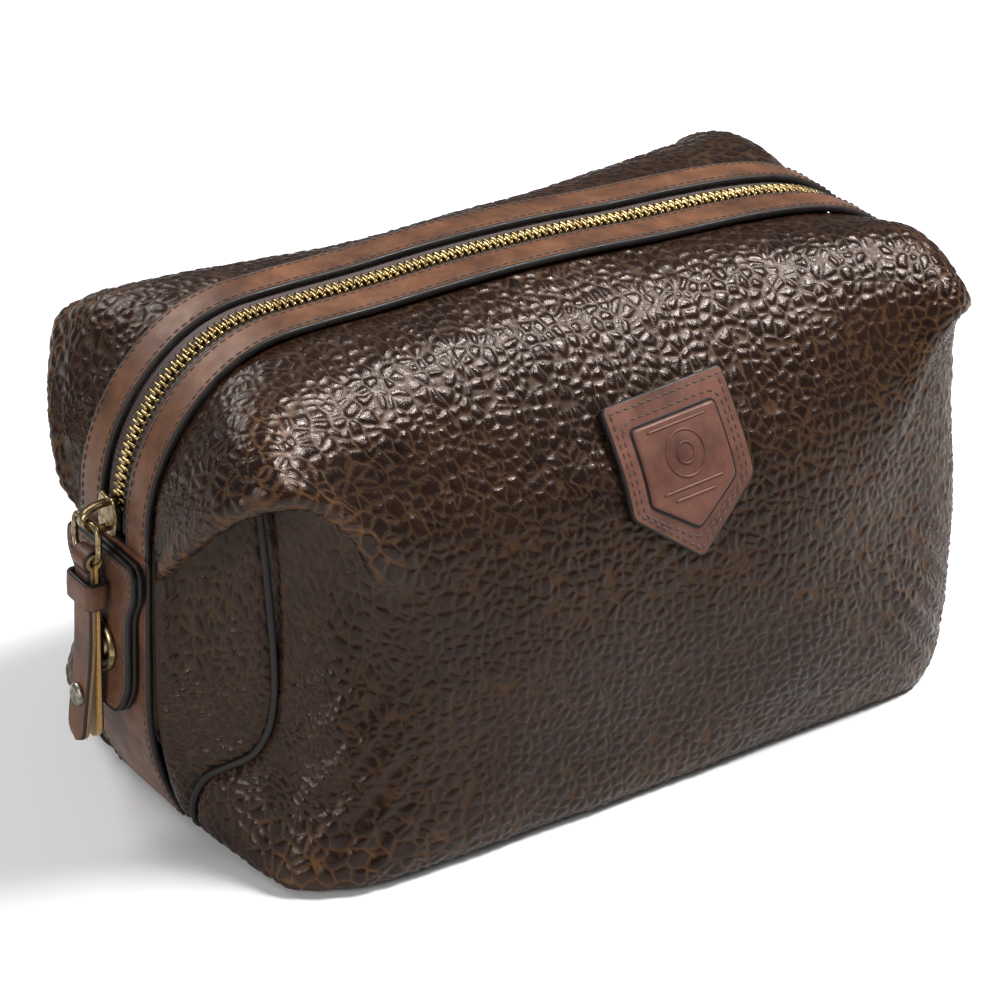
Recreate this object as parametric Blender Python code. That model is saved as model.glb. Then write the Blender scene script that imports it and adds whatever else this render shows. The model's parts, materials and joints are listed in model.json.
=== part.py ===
"""Leather shaving kit bag with a curved brass zip.

The bag stands on its base at z = 0.  X runs along its length, the front is at -Y.
A 38 mm wide ribbon of strips, zip and end bands runs over the bag in the plane
y = 0, and the leather walls hang from both edges of it.  The two flaps beside the
zip hinge outwards when the bag is open.
"""
import math

import bmesh
import bpy
import numpy as np

MM = 0.001

# Ribbon over the bag: zip on top, bands down both ends (mm, degrees).
HALF_LENGTH = 139.5
CORNER_RADIUS = 56.0
ZIP_FOOT = 98.0
LEFT_SLOPE = 8.5
RIGHT_SLOPE = 12.4
BAND_KNEE = 45.0
BAND_RADIUS = 80.0
BAND_SWEEP = 32.5
RIBBON_HALF = 19.0
RIBBON_DIP = 5.0
LEFT_DIP_START = 52.0
RIGHT_DIP_START = 75.0
DIP_RUN = 72.0
FLAP_END = 92.0
FOOT_OVERRUN = 7.6

# Leather and gaps.
LEATHER = 2.0
GAP = 0.4
LINING_GAP = 1.0
STRIP_INNER = 6.5
TAPE_TOP = -2.4
TAPE_BOTTOM = -3.1
TAPE_INNER = 3.5
TAPE_OUTER = 14.0

# Zip chain.
TOOTH_PITCH = 4.0
TOOTH_TIP = 1.0
TOOTH_ROOT = 2.2
TOOTH_BACK = 3.1
CHAIN_TOP = 0.4
CHAIN_BOTTOM = -3.2

# Slider and its pull, measured from the ribbon surface at the zip's foot.
SLIDER_HALF_LENGTH = 6.0
SLIDER_HALF_WIDTH = 5.4
SLIDER_PLATE = 1.1
SLIDER_TOP = 2.2
SLIDER_BOTTOM = -5.3
POST_HALF_WIDTH = 0.55
PIVOT_HEIGHT = 8.5
BRIDGE_HALF_LENGTH = 4.4
BRIDGE_THICKNESS = 1.2
LINK_WIRE = 0.9
LINK_HALF_WIDTH = 7.4
LINK_CORNER = 1.9
LINK_DROP = 12.0
PULL_LENGTH = 59.5
PULL_HALF_WIDTH = 5.2
PULL_LAYER = 1.8
PULL_SLIT = 0.3
PULL_EYE = 1.5

# Each station is one line of the wall from the ribbon's edge down to the base:
# edge, roof, crest, hinge line, below the fold, middle, low, toe, base (x, y, z in mm).
STATIONS = {
    "band": [(-138.5, -21, 99), (-138.5, -21, 95), (-138.5, -21.4, 91),
             (-138.4, -21.6, 86), (-138.2, -21.6, 80), (-138, -21.6, 52),
             (-136.0, -21.6, 28), (-130, -21.6, 7), (-122, -21.6, 0)],
    "gusset": [(-136, -19.4, 114), (-136.5, -25, 112), (-136.5, -30, 108),
               (-133, -34, 103), (-129, -32, 96), (-128, -32, 60),
               (-128, -34, 30), (-128, -36, 7), (-119, -34, 0)],
    "seam": [(-127, -19.4, 133), (-128, -32, 132), (-129, -44, 129),
             (-125, -50, 121), (-117, -46, 113), (-116, -46, 66),
             (-117, -49, 32), (-123, -56, 5), (-115, -51, 0)],
    "corner": [(-113, -19.4, 145), (-118, -36, 144), (-121, -54, 138),
               (-119, -61, 127), (-109, -58, 110), (-108, -59, 66),
               (-112, -62, 34), (-118, -69, 5), (-112, -62, 0)],
    "flap end": [(-92, -19.4, 151), (-92, -38, 146), (-92, -54, 134),
                 (-92, -62, 117), (-92, -67, 97), (-92, -70, 64),
                 (-95, -72, 32), (-98, -74, 5), (-94, -65, 0)],
    "outer": [(-60, -19.4, 154), (-60, -37, 145.5), (-60, -52, 132),
              (-60, -61.5, 117), (-60, -70, 97), (-60, -75.5, 64),
              (-60, -76, 32), (-60, -75, 5), (-59, -66, 0)],
    "inner": [(-30, -19.4, 155), (-30, -36, 145), (-30, -50, 132),
              (-30, -61, 117), (-30, -71, 97), (-30, -77, 64),
              (-30, -77, 32), (-30, -75, 5), (-30, -66, 0)],
    "middle": [(0, -19.4, 154), (0, -36, 145), (0, -50, 132),
               (0, -61, 117), (0, -71, 97), (0, -77, 64),
               (0, -77, 32), (0, -75, 5), (0, -66, 0)],
}
# Station numbers along the wall, and row numbers down it.
BAND, SEAM, FLAP_LEFT, MIDDLE, FLAP_RIGHT, SEAM_RIGHT, BAND_RIGHT = 0, 2, 4, 7, 10, 12, 14
EDGE, HINGE, FOLD, BASE = 0, 2, 4, 8
STATION_STEP = 30.0
# Where the first stations meet the ribbon: mm along the zip from its foot.
EDGE_RUN = (0.0, 17.0, 37.0, 57.0)
EDGE_MARGIN = 1.8
EDGE_DROP = 0.6
HINGE_Y = 53.5
HINGE_Z = 134.0
# The right end is fuller than the left: how far it stands out, per station and row.
RIGHT_PUSH = {"gusset": 5.0, "seam": 11.0, "corner": 13.0}
PUSH_SHARE = (0, -0.25, -0.45, 0.1, 1.0, 0.85, 0.3, -0.3, -0.3)
TOE = 7
RIGHT_TOE_BACK = {"corner": 3.0, "flap end": 3.5, "outer": 2.5, "inner": 1.0}
NUDGE = 0.02

# End tabs, rivets and the shield patch.
TAB_TOP = 89.0
TAB_BOTTOM = 47.0
RIVET_HEIGHT = 57.0
PATCH_X = 12.5
PATCH_TOP_ROW = HINGE + 0.55
PATCH_TIP_ROW = FOLD + 0.63
PATCH_HALF_WIDTH = 22.0

DARK_LEATHER = ("dark grained leather", (0.045, 0.022, 0.014), 0.42, 0.0)
STRIP_LEATHER = ("smooth brown leather", (0.16, 0.065, 0.028), 0.45, 0.0)
PATCH_LEATHER = ("reddish leather", (0.09, 0.028, 0.017), 0.45, 0.0)
EDGE_PAINT = ("black edge paint", (0.012, 0.010, 0.010), 0.5, 0.0)
TAPE_CLOTH = ("zip tape", (0.06, 0.03, 0.03), 0.9, 0.0)
LINING_CLOTH = ("lining twill", (0.30, 0.22, 0.13), 0.9, 0.0)
BRASS = ("antique brass", (0.45, 0.32, 0.13), 0.38, 1.0)


def clear_scene():
    for item in list(bpy.data.objects):
        bpy.data.objects.remove(item, do_unlink=True)


def material(look):
    name, colour, roughness, metallic = look
    found = bpy.data.materials.get(name)
    if found:
        return found
    made = bpy.data.materials.new(name)
    made.use_nodes = True
    shader = made.node_tree.nodes["Principled BSDF"]
    shader.inputs["Base Color"].default_value = (*colour, 1.0)
    shader.inputs["Roughness"].default_value = roughness
    shader.inputs["Metallic"].default_value = metallic
    return made


def direction(degrees):
    angle = math.radians(degrees)
    return np.array([math.cos(angle), math.sin(angle)])


def spine_arcs():
    """Arcs of the ribbon in the XZ plane: (centre, radius, first angle, last angle)."""
    left = np.array([-HALF_LENGTH + CORNER_RADIUS, ZIP_FOOT])
    first, last = 90 + LEFT_SLOPE, 90 - RIGHT_SLOPE
    across = direction(last) - direction(first)
    spare = 2 * (HALF_LENGTH - CORNER_RADIUS) / across[0]
    top = left - spare * direction(first)
    right = top + spare * direction(last)
    return [(left, CORNER_RADIUS, 180.0, first),
            (top, CORNER_RADIUS + spare, first, last),
            (right, CORNER_RADIUS, last, 0.0)]


ARCS = spine_arcs()
ARC_LENGTHS = [radius * math.radians(start - end) for _, radius, start, end in ARCS]
ZIP_LENGTH = sum(ARC_LENGTHS)
RIGHT_FOOT = ARCS[2][0][1]


def end_run(distance, foot):
    """Point and outward normal down the left end, at a distance below the zip's foot."""
    straight = foot - BAND_KNEE
    if distance <= straight:
        return np.array([-HALF_LENGTH, foot - distance]), np.array([-1.0, 0.0])
    angle = 180 + math.degrees((distance - straight) / BAND_RADIUS)
    centre = np.array([-HALF_LENGTH + BAND_RADIUS, BAND_KNEE])
    return centre + BAND_RADIUS * direction(angle), direction(angle)


def spine(s):
    """Point and outward normal of the ribbon, s mm along it from the zip's left foot."""
    if s < 0:
        return end_run(-s, ZIP_FOOT)
    if s > ZIP_LENGTH:
        point, normal = end_run(s - ZIP_LENGTH, RIGHT_FOOT)
        return point * (-1, 1), normal * (-1, 1)
    for (centre, radius, start, end), length in zip(ARCS, ARC_LENGTHS):
        if s <= length + 1e-9:
            outward = direction(start - math.degrees(s / radius))
            return centre + radius * outward, outward
        s -= length
    return centre + radius * direction(end), direction(end)


def ease(value, start, run):
    t = min(max((value - start) / run, 0.0), 1.0)
    return t * t * (3 - 2 * t)


def dip(s):
    """How far the ribbon sags below its arcs, mid-way along the zip."""
    return RIBBON_DIP * ease(s, LEFT_DIP_START, DIP_RUN) * ease(ZIP_LENGTH - s, RIGHT_DIP_START, DIP_RUN)


def ribbon_point(s, y, height):
    (x, z), (nx, nz) = spine(s)
    level = height - dip(s)
    return (x + nx * level, y, z + nz * level)


def spine_at_x(x):
    """Distance along the zip where it passes a given x on the top of the bag."""
    low, high = ARC_LENGTHS[0] * 0.5, ZIP_LENGTH - ARC_LENGTHS[2] * 0.5
    for _ in range(50):
        middle = (low + high) / 2
        if spine(middle)[0][0] < x:
            low = middle
        else:
            high = middle
    return low


def wall_cage():
    """All stations from left to right, with the top edge laid beside the ribbon."""
    left = np.array(list(STATIONS.values()), float)
    right = left[:-1][::-1] * (-1, 1, 1)
    cage = np.concatenate([left, right])
    for i, name in enumerate(STATIONS):
        cage[-1 - i, :, 0] += RIGHT_PUSH.get(name, 0.0) * np.array(PUSH_SHARE)
        cage[-1 - i, TOE, 1] += RIGHT_TOE_BACK.get(name, 0.0)
    for i, distance in enumerate(EDGE_RUN):
        cage[i, EDGE] = ribbon_point(distance, -RIBBON_HALF - EDGE_MARGIN, -EDGE_DROP)
        cage[-1 - i, EDGE] = ribbon_point(ZIP_LENGTH - distance, -RIBBON_HALF - EDGE_MARGIN, -EDGE_DROP)
    for i in range(FLAP_LEFT, FLAP_RIGHT + 1):
        x = cage[i, HINGE, 0]
        cage[i, EDGE] = ribbon_point(spine_at_x(x), -RIBBON_HALF - EDGE_MARGIN, -EDGE_DROP)
        cage[i, EDGE, 0] = x
    return cage


CAGE = wall_cage()


def catmull(points, t):
    """Smooth curve through points, which sit at t = 0, 1, 2 and so on."""
    last = len(points) - 1
    i = min(max(int(t), 0), last - 1)
    f = t - i
    p1, p2 = points[i], points[i + 1]
    p0 = points[i - 1] if i > 0 else 2 * p1 - p2
    p3 = points[i + 2] if i + 2 <= last else 2 * p2 - p1
    slope1, slope2 = (p2 - p0) / 2, (p3 - p1) / 2
    return ((2 * f**3 - 3 * f**2 + 1) * p1 + (f**3 - 2 * f**2 + f) * slope1
            + (3 * f**2 - 2 * f**3) * p2 + (f**3 - f**2) * slope2)


def wall(u, v):
    """Outer surface of the front wall: u counts stations from the left, v rows down."""
    return catmull(np.array([catmull(station, v) for station in CAGE]), u)


def wall_point(u, v, offset):
    """Point of the front wall, moved outwards by an offset."""
    step = 0.02
    along = wall(u + step, v) - wall(u - step, v)
    down = wall(u, v + step) - wall(u, v - step)
    normal = np.cross(down, along)
    return wall(u, v) + normal / np.linalg.norm(normal) * offset


def add_object(name, bm, look, smooth=True):
    bmesh.ops.recalc_face_normals(bm, faces=bm.faces)
    bmesh.ops.triangulate(bm, faces=bm.faces)
    mesh = bpy.data.meshes.new(name)
    bm.to_mesh(mesh)
    bm.free()
    if smooth:
        mesh.shade_smooth()
        mesh.set_sharp_from_angle(angle=math.radians(40))
    mesh.materials.append(material(look))
    item = bpy.data.objects.new(name, mesh)
    bpy.context.collection.objects.link(item)
    return item


def grid_solid(name, point, columns, rows, levels, look, filled=None):
    """Closed solid on a bent grid: two levels, with some cells left out if filled says so."""
    bm = bmesh.new()
    verts = {}

    def vert(i, j, k):
        if (i, j, k) not in verts:
            place = point(columns[i], rows[j], levels[k])
            verts[i, j, k] = bm.verts.new([float(value) * MM for value in place])
        return verts[i, j, k]

    def full(i, j):
        inside = 0 <= i < len(columns) - 1 and 0 <= j < len(rows) - 1
        return inside and (filled is None or filled(i, j))

    for i in range(len(columns) - 1):
        for j in range(len(rows) - 1):
            if not full(i, j):
                continue
            for k in (0, 1):
                bm.faces.new([vert(i, j, k), vert(i + 1, j, k), vert(i + 1, j + 1, k), vert(i, j + 1, k)])
            sides = [((i, j), (i + 1, j), (i, j - 1)), ((i + 1, j), (i + 1, j + 1), (i + 1, j)),
                     ((i + 1, j + 1), (i, j + 1), (i, j + 1)), ((i, j + 1), (i, j), (i - 1, j))]
            for first, second, neighbour in sides:
                if not full(*neighbour):
                    bm.faces.new([vert(*first, 0), vert(*second, 0), vert(*second, 1), vert(*first, 1)])
    return add_object(name, bm, look)


def front_or_back(point, side):
    """Mirror a front point to the back when side is +1."""
    def placed(a, b, level):
        x, y, z = point(a, b, level)
        return (x, -side * y, z)
    return placed


def sides():
    return (("front", -1), ("back", 1))


def wall_piece(name, side, u_lines, v_lines, inner, outer, look, filled=None):
    place = front_or_back(wall_point, side)
    return grid_solid(name, place, u_lines, v_lines, (inner, outer), look, filled)


def lines(*knots, steps=2):
    """Grid lines through the knots, each stretch cut into equal steps per unit."""
    result = [knots[0]]
    for start, end in zip(knots, knots[1:]):
        count = max(1, round((end - start) * steps))
        result += [start + (end - start) * (i + 1) / count for i in range(count)]
    return result


def build_walls():
    for label, side in sides():
        u_lines = lines(SEAM + NUDGE, FLAP_LEFT + NUDGE, FLAP_RIGHT - NUDGE, SEAM_RIGHT - NUDGE)
        v_lines = lines(HINGE + NUDGE, FOLD + NUDGE, BASE)

        def is_panel(i, j, u_lines=u_lines, v_lines=v_lines):
            between_flap_ends = FLAP_LEFT < u_lines[i] and u_lines[i + 1] < FLAP_RIGHT
            return between_flap_ends or v_lines[j] > FOLD

        wall_piece(f"{label}_panel", side, u_lines, v_lines, -LEATHER, 0, DARK_LEATHER, is_panel)
        flap_u = lines(FLAP_LEFT + NUDGE, FLAP_RIGHT - NUDGE)
        flap = wall_piece(f"{label}_flap", side, flap_u, lines(EDGE, HINGE - NUDGE), -LEATHER, 0,
                          DARK_LEATHER)
        pivoted(flap, (0, side * HINGE_Y, HINGE_Z))
        ends = (("left", BAND, FLAP_LEFT - NUDGE, BAND, SEAM - NUDGE, SEAM),
                ("right", FLAP_RIGHT + NUDGE, BAND_RIGHT, SEAM_RIGHT + NUDGE, BAND_RIGHT, SEAM_RIGHT))
        for end, ear0, ear1, gusset0, gusset1, seam in ends:
            wall_piece(f"{label}_{end}_shoulder", side, lines(ear0, ear1),
                       lines(EDGE, FOLD - NUDGE), -LEATHER, 0, DARK_LEATHER)
            wall_piece(f"{label}_{end}_gusset", side, lines(gusset0, gusset1),
                       lines(FOLD + NUDGE, BASE), -LEATHER, 0, DARK_LEATHER)
            wall_piece(f"{label}_{end}_welt", side, [seam - 0.07, seam + 0.07],
                       lines(FOLD + 0.05, BASE - 0.6, steps=4), 2 * GAP, 2 * GAP + 1.5, EDGE_PAINT)
        wall_piece(f"{label}_lining", side, lines(SEAM + 1.5, SEAM_RIGHT - 1.5),
                   lines(FOLD + 0.05, BASE - 1), -LEATHER - LINING_GAP - 0.8, -LEATHER - LINING_GAP,
                   LINING_CLOTH)


def build_base():
    rim = [wall(u, BASE) for u in lines(BAND, BAND_RIGHT, steps=1)]
    rim += [point * (1, -1, 1) for point in reversed(rim)]

    def slab(name, shrink, low, high, look):
        bm = bmesh.new()
        outline = [point * (1 - shrink / np.linalg.norm(point)) for point in rim]
        bottom = [bm.verts.new((x * MM, y * MM, low * MM)) for x, y, _ in outline]
        face = bm.faces.new(bottom)
        top = bmesh.ops.extrude_face_region(bm, geom=[face], use_keep_orig=True)
        moved = [item for item in top["geom"] if isinstance(item, bmesh.types.BMVert)]
        bmesh.ops.translate(bm, verts=moved, vec=(0, 0, (high - low) * MM))
        add_object(name, bm, look, smooth=False)

    slab("base_panel", 2.8, 0.0, LEATHER, DARK_LEATHER)
    slab("base_board", 9.0, LEATHER + GAP, 2 * LEATHER + GAP, LINING_CLOTH)


def ribbon_piece(name, s_lines, y_lines, low, high, look, filled=None):
    return grid_solid(name, ribbon_point, s_lines, y_lines, (low, high), look, filled)


def ribbon_sections():
    left, right = spine_at_x(-FLAP_END), spine_at_x(FLAP_END)
    return (("left", -FOOT_OVERRUN, left - GAP), ("top", left + GAP, right - GAP),
            ("right", right + GAP, ZIP_LENGTH + FOOT_OVERRUN))


def even(start, end, step):
    count = max(1, round((end - start) / step))
    return [start + (end - start) * i / count for i in range(count + 1)]


def build_ribbon():
    for label, side in sides():
        for section, start, end in ribbon_sections():
            s_lines = even(start, end, 9.0)
            name = f"{label}_{section}"
            strip_y = sorted((side * STRIP_INNER, side * RIBBON_HALF * 0.7, side * RIBBON_HALF))
            strip = ribbon_piece(f"{name}_strip", s_lines, strip_y, -LEATHER, 0, STRIP_LEATHER)
            tape_y = sorted((side * TAPE_INNER, side * TAPE_OUTER))
            tape = ribbon_piece(f"{name}_tape", s_lines, tape_y, TAPE_BOTTOM, TAPE_TOP, TAPE_CLOTH)
            teeth = build_teeth(f"{name}_teeth", side, start, end)
            if section == "top":
                for item in (strip, tape, teeth):
                    pivoted(item, (0, side * HINGE_Y, HINGE_Z))


def build_teeth(name, side, start, end):
    """A comb of teeth: every second cell between tip and root is a tooth."""
    first = max(start, 1.0)
    last = min(end, ZIP_LENGTH - 1.0)
    s_lines = even(first, last, TOOTH_PITCH / 2)
    y_lines = sorted((side * TOOTH_TIP, side * TOOTH_ROOT, side * TOOTH_BACK))
    tip_cell = 0 if side > 0 else 1

    def is_tooth(i, j):
        return j != tip_cell or i % 2 == (0 if side > 0 else 1)

    return ribbon_piece(name, s_lines, y_lines, CHAIN_BOTTOM, CHAIN_TOP, BRASS, is_tooth)


def build_ends():
    foot_gap = FOOT_OVERRUN + GAP
    run = ZIP_FOOT - BAND_KNEE + BAND_RADIUS * math.radians(BAND_SWEEP)
    right_run = RIGHT_FOOT - BAND_KNEE + BAND_RADIUS * math.radians(BAND_SWEEP)
    band_y = even(-RIBBON_HALF, RIBBON_HALF, RIBBON_HALF)
    ribbon_piece("left_band", even(-run, -foot_gap, 9.0), band_y, -LEATHER, 0, STRIP_LEATHER)
    ribbon_piece("right_band", even(ZIP_LENGTH + foot_gap, ZIP_LENGTH + right_run, 9.0), band_y,
                 -LEATHER, 0, STRIP_LEATHER)
    ribbon_piece("end_stop", even(ZIP_LENGTH - 0.6, ZIP_LENGTH + 3.4, 4.0), even(-3.1, 3.1, 6.2),
                 CHAIN_BOTTOM, CHAIN_TOP, BRASS)
    for end, side in (("left", -1), ("right", 1)):
        build_tab(f"{end}_tab_inner", side, GAP, GAP + 1.6)
        build_tab(f"{end}_tab_outer", side, 2 * GAP + 1.6, 2 * GAP + 3.2)
        build_rivet(f"{end}_rivet", side)


def tab_half_width(z):
    """Half width of the end tab: a wide head, a shoulder and a narrower round tail."""
    if z > 80:
        return 19.0
    if z > 72:
        return 14.5 + 4.5 * (z - 72) / 8
    tail = 14.5
    below = max(0.0, (TAB_BOTTOM + tail) - z)
    return max(4.0, math.sqrt(max(tail**2 - below**2, 0.0)))


def build_tab(name, side, low, high):
    heights = [TAB_BOTTOM, 47.8, 50, 53, 57, 61, 66, 72, 80, 80.5, TAB_TOP]

    def point(z, across, level):
        return (side * (HALF_LENGTH + level), across * tab_half_width(z), z)

    grid_solid(name, point, heights, (-1.0, 0.0, 1.0), (low, high), STRIP_LEATHER)


def build_rivet(name, side):
    radius, thickness = 8.5, 1.4
    inner = HALF_LENGTH + 3 * GAP + 3.2
    bm = bmesh.new()
    bmesh.ops.create_cone(bm, cap_ends=True, segments=24, radius1=radius * MM,
                          radius2=radius * 0.86 * MM, depth=thickness * MM)
    item = add_object(name, bm, BRASS)
    item.rotation_euler = (0, side * math.pi / 2, 0)
    item.location = (side * (inner + thickness / 2) * MM, 0, RIVET_HEIGHT * MM)


def foot_point(t, y, height):
    """Point beside the zip's left foot: t upwards, height outwards from the ribbon."""
    return (-HALF_LENGTH - height, y, ZIP_FOOT + t)


def pivoted(item, point):
    """Put an object's origin on its joint's axis without moving its mesh."""
    x, y, z = (value * MM for value in point)
    for vertex in item.data.vertices:
        vertex.co.x -= x
        vertex.co.y -= y
        vertex.co.z -= z
    item.location = (x, y, z)


def profile_solid(name, outline, half_width, look):
    """Extrude a closed outline of (t, height) points across the zip."""
    bm = bmesh.new()
    rings = []
    for y in (-half_width, half_width):
        ring = [bm.verts.new([value * MM for value in foot_point(t, y, h)]) for t, h in outline]
        rings.append(ring)
        bm.faces.new(ring)
    for i in range(len(outline)):
        j = (i + 1) % len(outline)
        bm.faces.new([rings[0][i], rings[0][j], rings[1][j], rings[1][i]])
    return add_object(name, bm, look)


def build_slider():
    top_plate = SLIDER_TOP - SLIDER_PLATE
    bottom_plate = SLIDER_BOTTOM + SLIDER_PLATE
    t_lines = (-SLIDER_HALF_LENGTH, -5.0, -2.0, SLIDER_HALF_LENGTH)
    y_lines = (-SLIDER_HALF_WIDTH, -POST_HALF_WIDTH, POST_HALF_WIDTH, SLIDER_HALF_WIDTH)
    levels = (SLIDER_BOTTOM, bottom_plate, top_plate, SLIDER_TOP)
    bm = bmesh.new()
    verts = {}

    def vert(i, j, k):
        if (i, j, k) not in verts:
            place = foot_point(t_lines[i], y_lines[j], levels[k])
            verts[i, j, k] = bm.verts.new([value * MM for value in place])
        return verts[i, j, k]

    def solid(i, j, k):
        if not (0 <= i < 3 and 0 <= j < 3 and 0 <= k < 3):
            return False
        return k != 1 or (i == 1 and j == 1)

    corners = ((0, 0), (1, 0), (1, 1), (0, 1))
    for i, j, k in np.ndindex(3, 3, 3):
        if not solid(i, j, k):
            continue
        for axis in range(3):
            for step in (0, 1):
                beyond = [i, j, k]
                beyond[axis] += 2 * step - 1
                if solid(*beyond):
                    continue
                ring = []
                for a, b in corners:
                    corner = [i, j, k]
                    corner[axis] += step
                    corner[(axis + 1) % 3] += a
                    corner[(axis + 2) % 3] += b
                    ring.append(vert(*corner))
                bm.faces.new(ring)
    item = add_object("slider_body", bm, BRASS)
    pivoted(item, (ARCS[0][0][0], 0, ARCS[0][0][1]))
    build_bridge()


def build_bridge():
    outer, inner = [], []
    rise = PIVOT_HEIGHT + LINK_WIRE + 0.6 - SLIDER_TOP - GAP
    for i in range(13):
        angle = math.pi * i / 12
        base = SLIDER_TOP + GAP
        outer.append((BRIDGE_HALF_LENGTH * math.cos(angle),
                      base + (rise + BRIDGE_THICKNESS) * math.sin(angle)))
        inner.append(((BRIDGE_HALF_LENGTH - BRIDGE_THICKNESS) * math.cos(angle),
                      base + rise * math.sin(angle)))
    item = profile_solid("slider_bridge", outer + inner[::-1], 1.5, BRASS)
    pivoted(item, (ARCS[0][0][0], 0, ARCS[0][0][1]))


def build_link():
    """Oval wire ring through the bridge, hanging in the plane of its two bars."""
    bm = bmesh.new()
    rings = []
    corner = LINK_CORNER
    route = []
    for cy, ct, start in ((LINK_HALF_WIDTH - corner, -corner, 90), (-LINK_HALF_WIDTH + corner, -corner, 180),
                          (-LINK_HALF_WIDTH + corner, corner - LINK_DROP, 270),
                          (LINK_HALF_WIDTH - corner, corner - LINK_DROP, 360)):
        for i in range(4):
            angle = math.radians(start - 90 + 90 * i / 3) if start != 90 else math.radians(90 * i / 3)
            route.append((cy + corner * math.cos(angle), ct + corner * math.sin(angle), angle))
    for y, t, angle in route:
        ring = []
        for k in range(8):
            turn = 2 * math.pi * k / 8
            reach = LINK_WIRE * math.cos(turn)
            place = foot_point(t + reach * math.sin(angle), y + reach * math.cos(angle),
                               PIVOT_HEIGHT + LINK_WIRE * math.sin(turn))
            ring.append(bm.verts.new([value * MM for value in place]))
        rings.append(ring)
    for i, ring in enumerate(rings):
        following = rings[(i + 1) % len(rings)]
        for k in range(8):
            m = (k + 1) % 8
            bm.faces.new([ring[k], ring[m], following[m], following[k]])
    item = add_object("pull_link", bm, BRASS)
    pivoted(item, foot_point(0, 0, PIVOT_HEIGHT))


def build_pull():
    """Leather strap folded over the link's lower bar."""
    end = -LINK_DROP - PULL_LENGTH
    half = PULL_SLIT + PULL_LAYER
    outer_radius = PULL_EYE + PULL_LAYER
    outline = [(end, PIVOT_HEIGHT + half)]
    start = math.asin(half / outer_radius)
    for i in range(15):
        angle = math.pi - start - (2 * math.pi - 2 * start) * i / 14
        outline.append((-LINK_DROP + outer_radius * math.cos(angle),
                        PIVOT_HEIGHT + outer_radius * math.sin(angle)))
    outline.append((end, PIVOT_HEIGHT - half))
    outline.append((end, PIVOT_HEIGHT - PULL_SLIT))
    start = math.asin(PULL_SLIT / PULL_EYE)
    for i in range(11):
        angle = math.pi + start + (2 * math.pi - 2 * start) * i / 10
        outline.append((-LINK_DROP + PULL_EYE * math.cos(angle),
                        PIVOT_HEIGHT + PULL_EYE * math.sin(angle)))
    outline.append((end, PIVOT_HEIGHT + PULL_SLIT))
    item = profile_solid("leather_pull", outline, PULL_HALF_WIDTH, STRIP_LEATHER)
    pivot = foot_point(-LINK_DROP, 0, PIVOT_HEIGHT)
    pivoted(item, pivot)
    keeper = build_keeper(half + GAP)
    pivoted(keeper, pivot)


def build_keeper(inner_height):
    """Leather loop round the two layers of the pull."""
    top, bottom = -LINK_DROP - 6.0, -LINK_DROP - 13.0
    inner_width = PULL_HALF_WIDTH + GAP
    wall_thickness = 1.4
    bm = bmesh.new()

    def ring(t, width, height):
        corners = ((-1, -1), (1, -1), (1, 1), (-1, 1))
        return [bm.verts.new([value * MM for value in foot_point(t, a * width, PIVOT_HEIGHT + b * height)])
                for a, b in corners]

    wide, tall = inner_width + wall_thickness, inner_height + wall_thickness
    loops = [ring(top, inner_width, inner_height), ring(top, wide, tall),
             ring(bottom, wide, tall), ring(bottom, inner_width, inner_height)]
    for i in range(4):
        first, second = loops[i], loops[(i + 1) % 4]
        for k in range(4):
            m = (k + 1) % 4
            bm.faces.new([first[k], first[m], second[m], second[k]])
    return add_object("pull_keeper", bm, STRIP_LEATHER)


def shield_width(fraction, half_width):
    """Half width of the shield: straight sides, then a point below two thirds."""
    knee = 0.62
    if fraction <= knee:
        return half_width
    return max(0.8, half_width * (1 - (fraction - knee) / (1 - knee)))


def build_patch():
    fractions = (0.0, 0.15, 0.3, 0.46, 0.62, 0.74, 0.87, 1.0)
    shields = (("patch_base", PATCH_HALF_WIDTH, 0.0, 1.0, GAP, GAP + 1.8),
               ("patch_inner", PATCH_HALF_WIDTH * 0.62, 0.17, 0.82, 2 * GAP + 1.8, 2 * GAP + 3.2))
    for name, half_width, top, tip, low, high in shields:
        def point(across, fraction, level, half_width=half_width, top=top, tip=tip):
            x = PATCH_X + across * shield_width(fraction, half_width)
            share = top + (tip - top) * fraction
            row = PATCH_TOP_ROW + (PATCH_TIP_ROW - PATCH_TOP_ROW) * share
            return wall_point(MIDDLE + x / STATION_STEP, row, level)
        grid_solid(name, point, (-1.0, -0.5, 0.0, 0.5, 1.0), fractions, (low, high), PATCH_LEATHER)


def build_pocket():
    """Flat slip pocket standing inside the back wall."""
    def point(x, z, level):
        return (x, level, z)
    grid_solid("slip_pocket", point, (-70.0, 70.0), (8.0, 84.0), (62.0, 63.4), LINING_CLOTH)


def main():
    clear_scene()
    build_walls()
    build_base()
    build_ribbon()
    build_ends()
    build_slider()
    build_link()
    build_pull()
    build_patch()
    build_pocket()


main()
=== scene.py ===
"""Looks of the leather shaving kit bag: grained walls, strips, brass zip, pull and patch."""
import json
import math

import bmesh
import bpy
import numpy as np
from mathutils import Matrix, Vector


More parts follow.
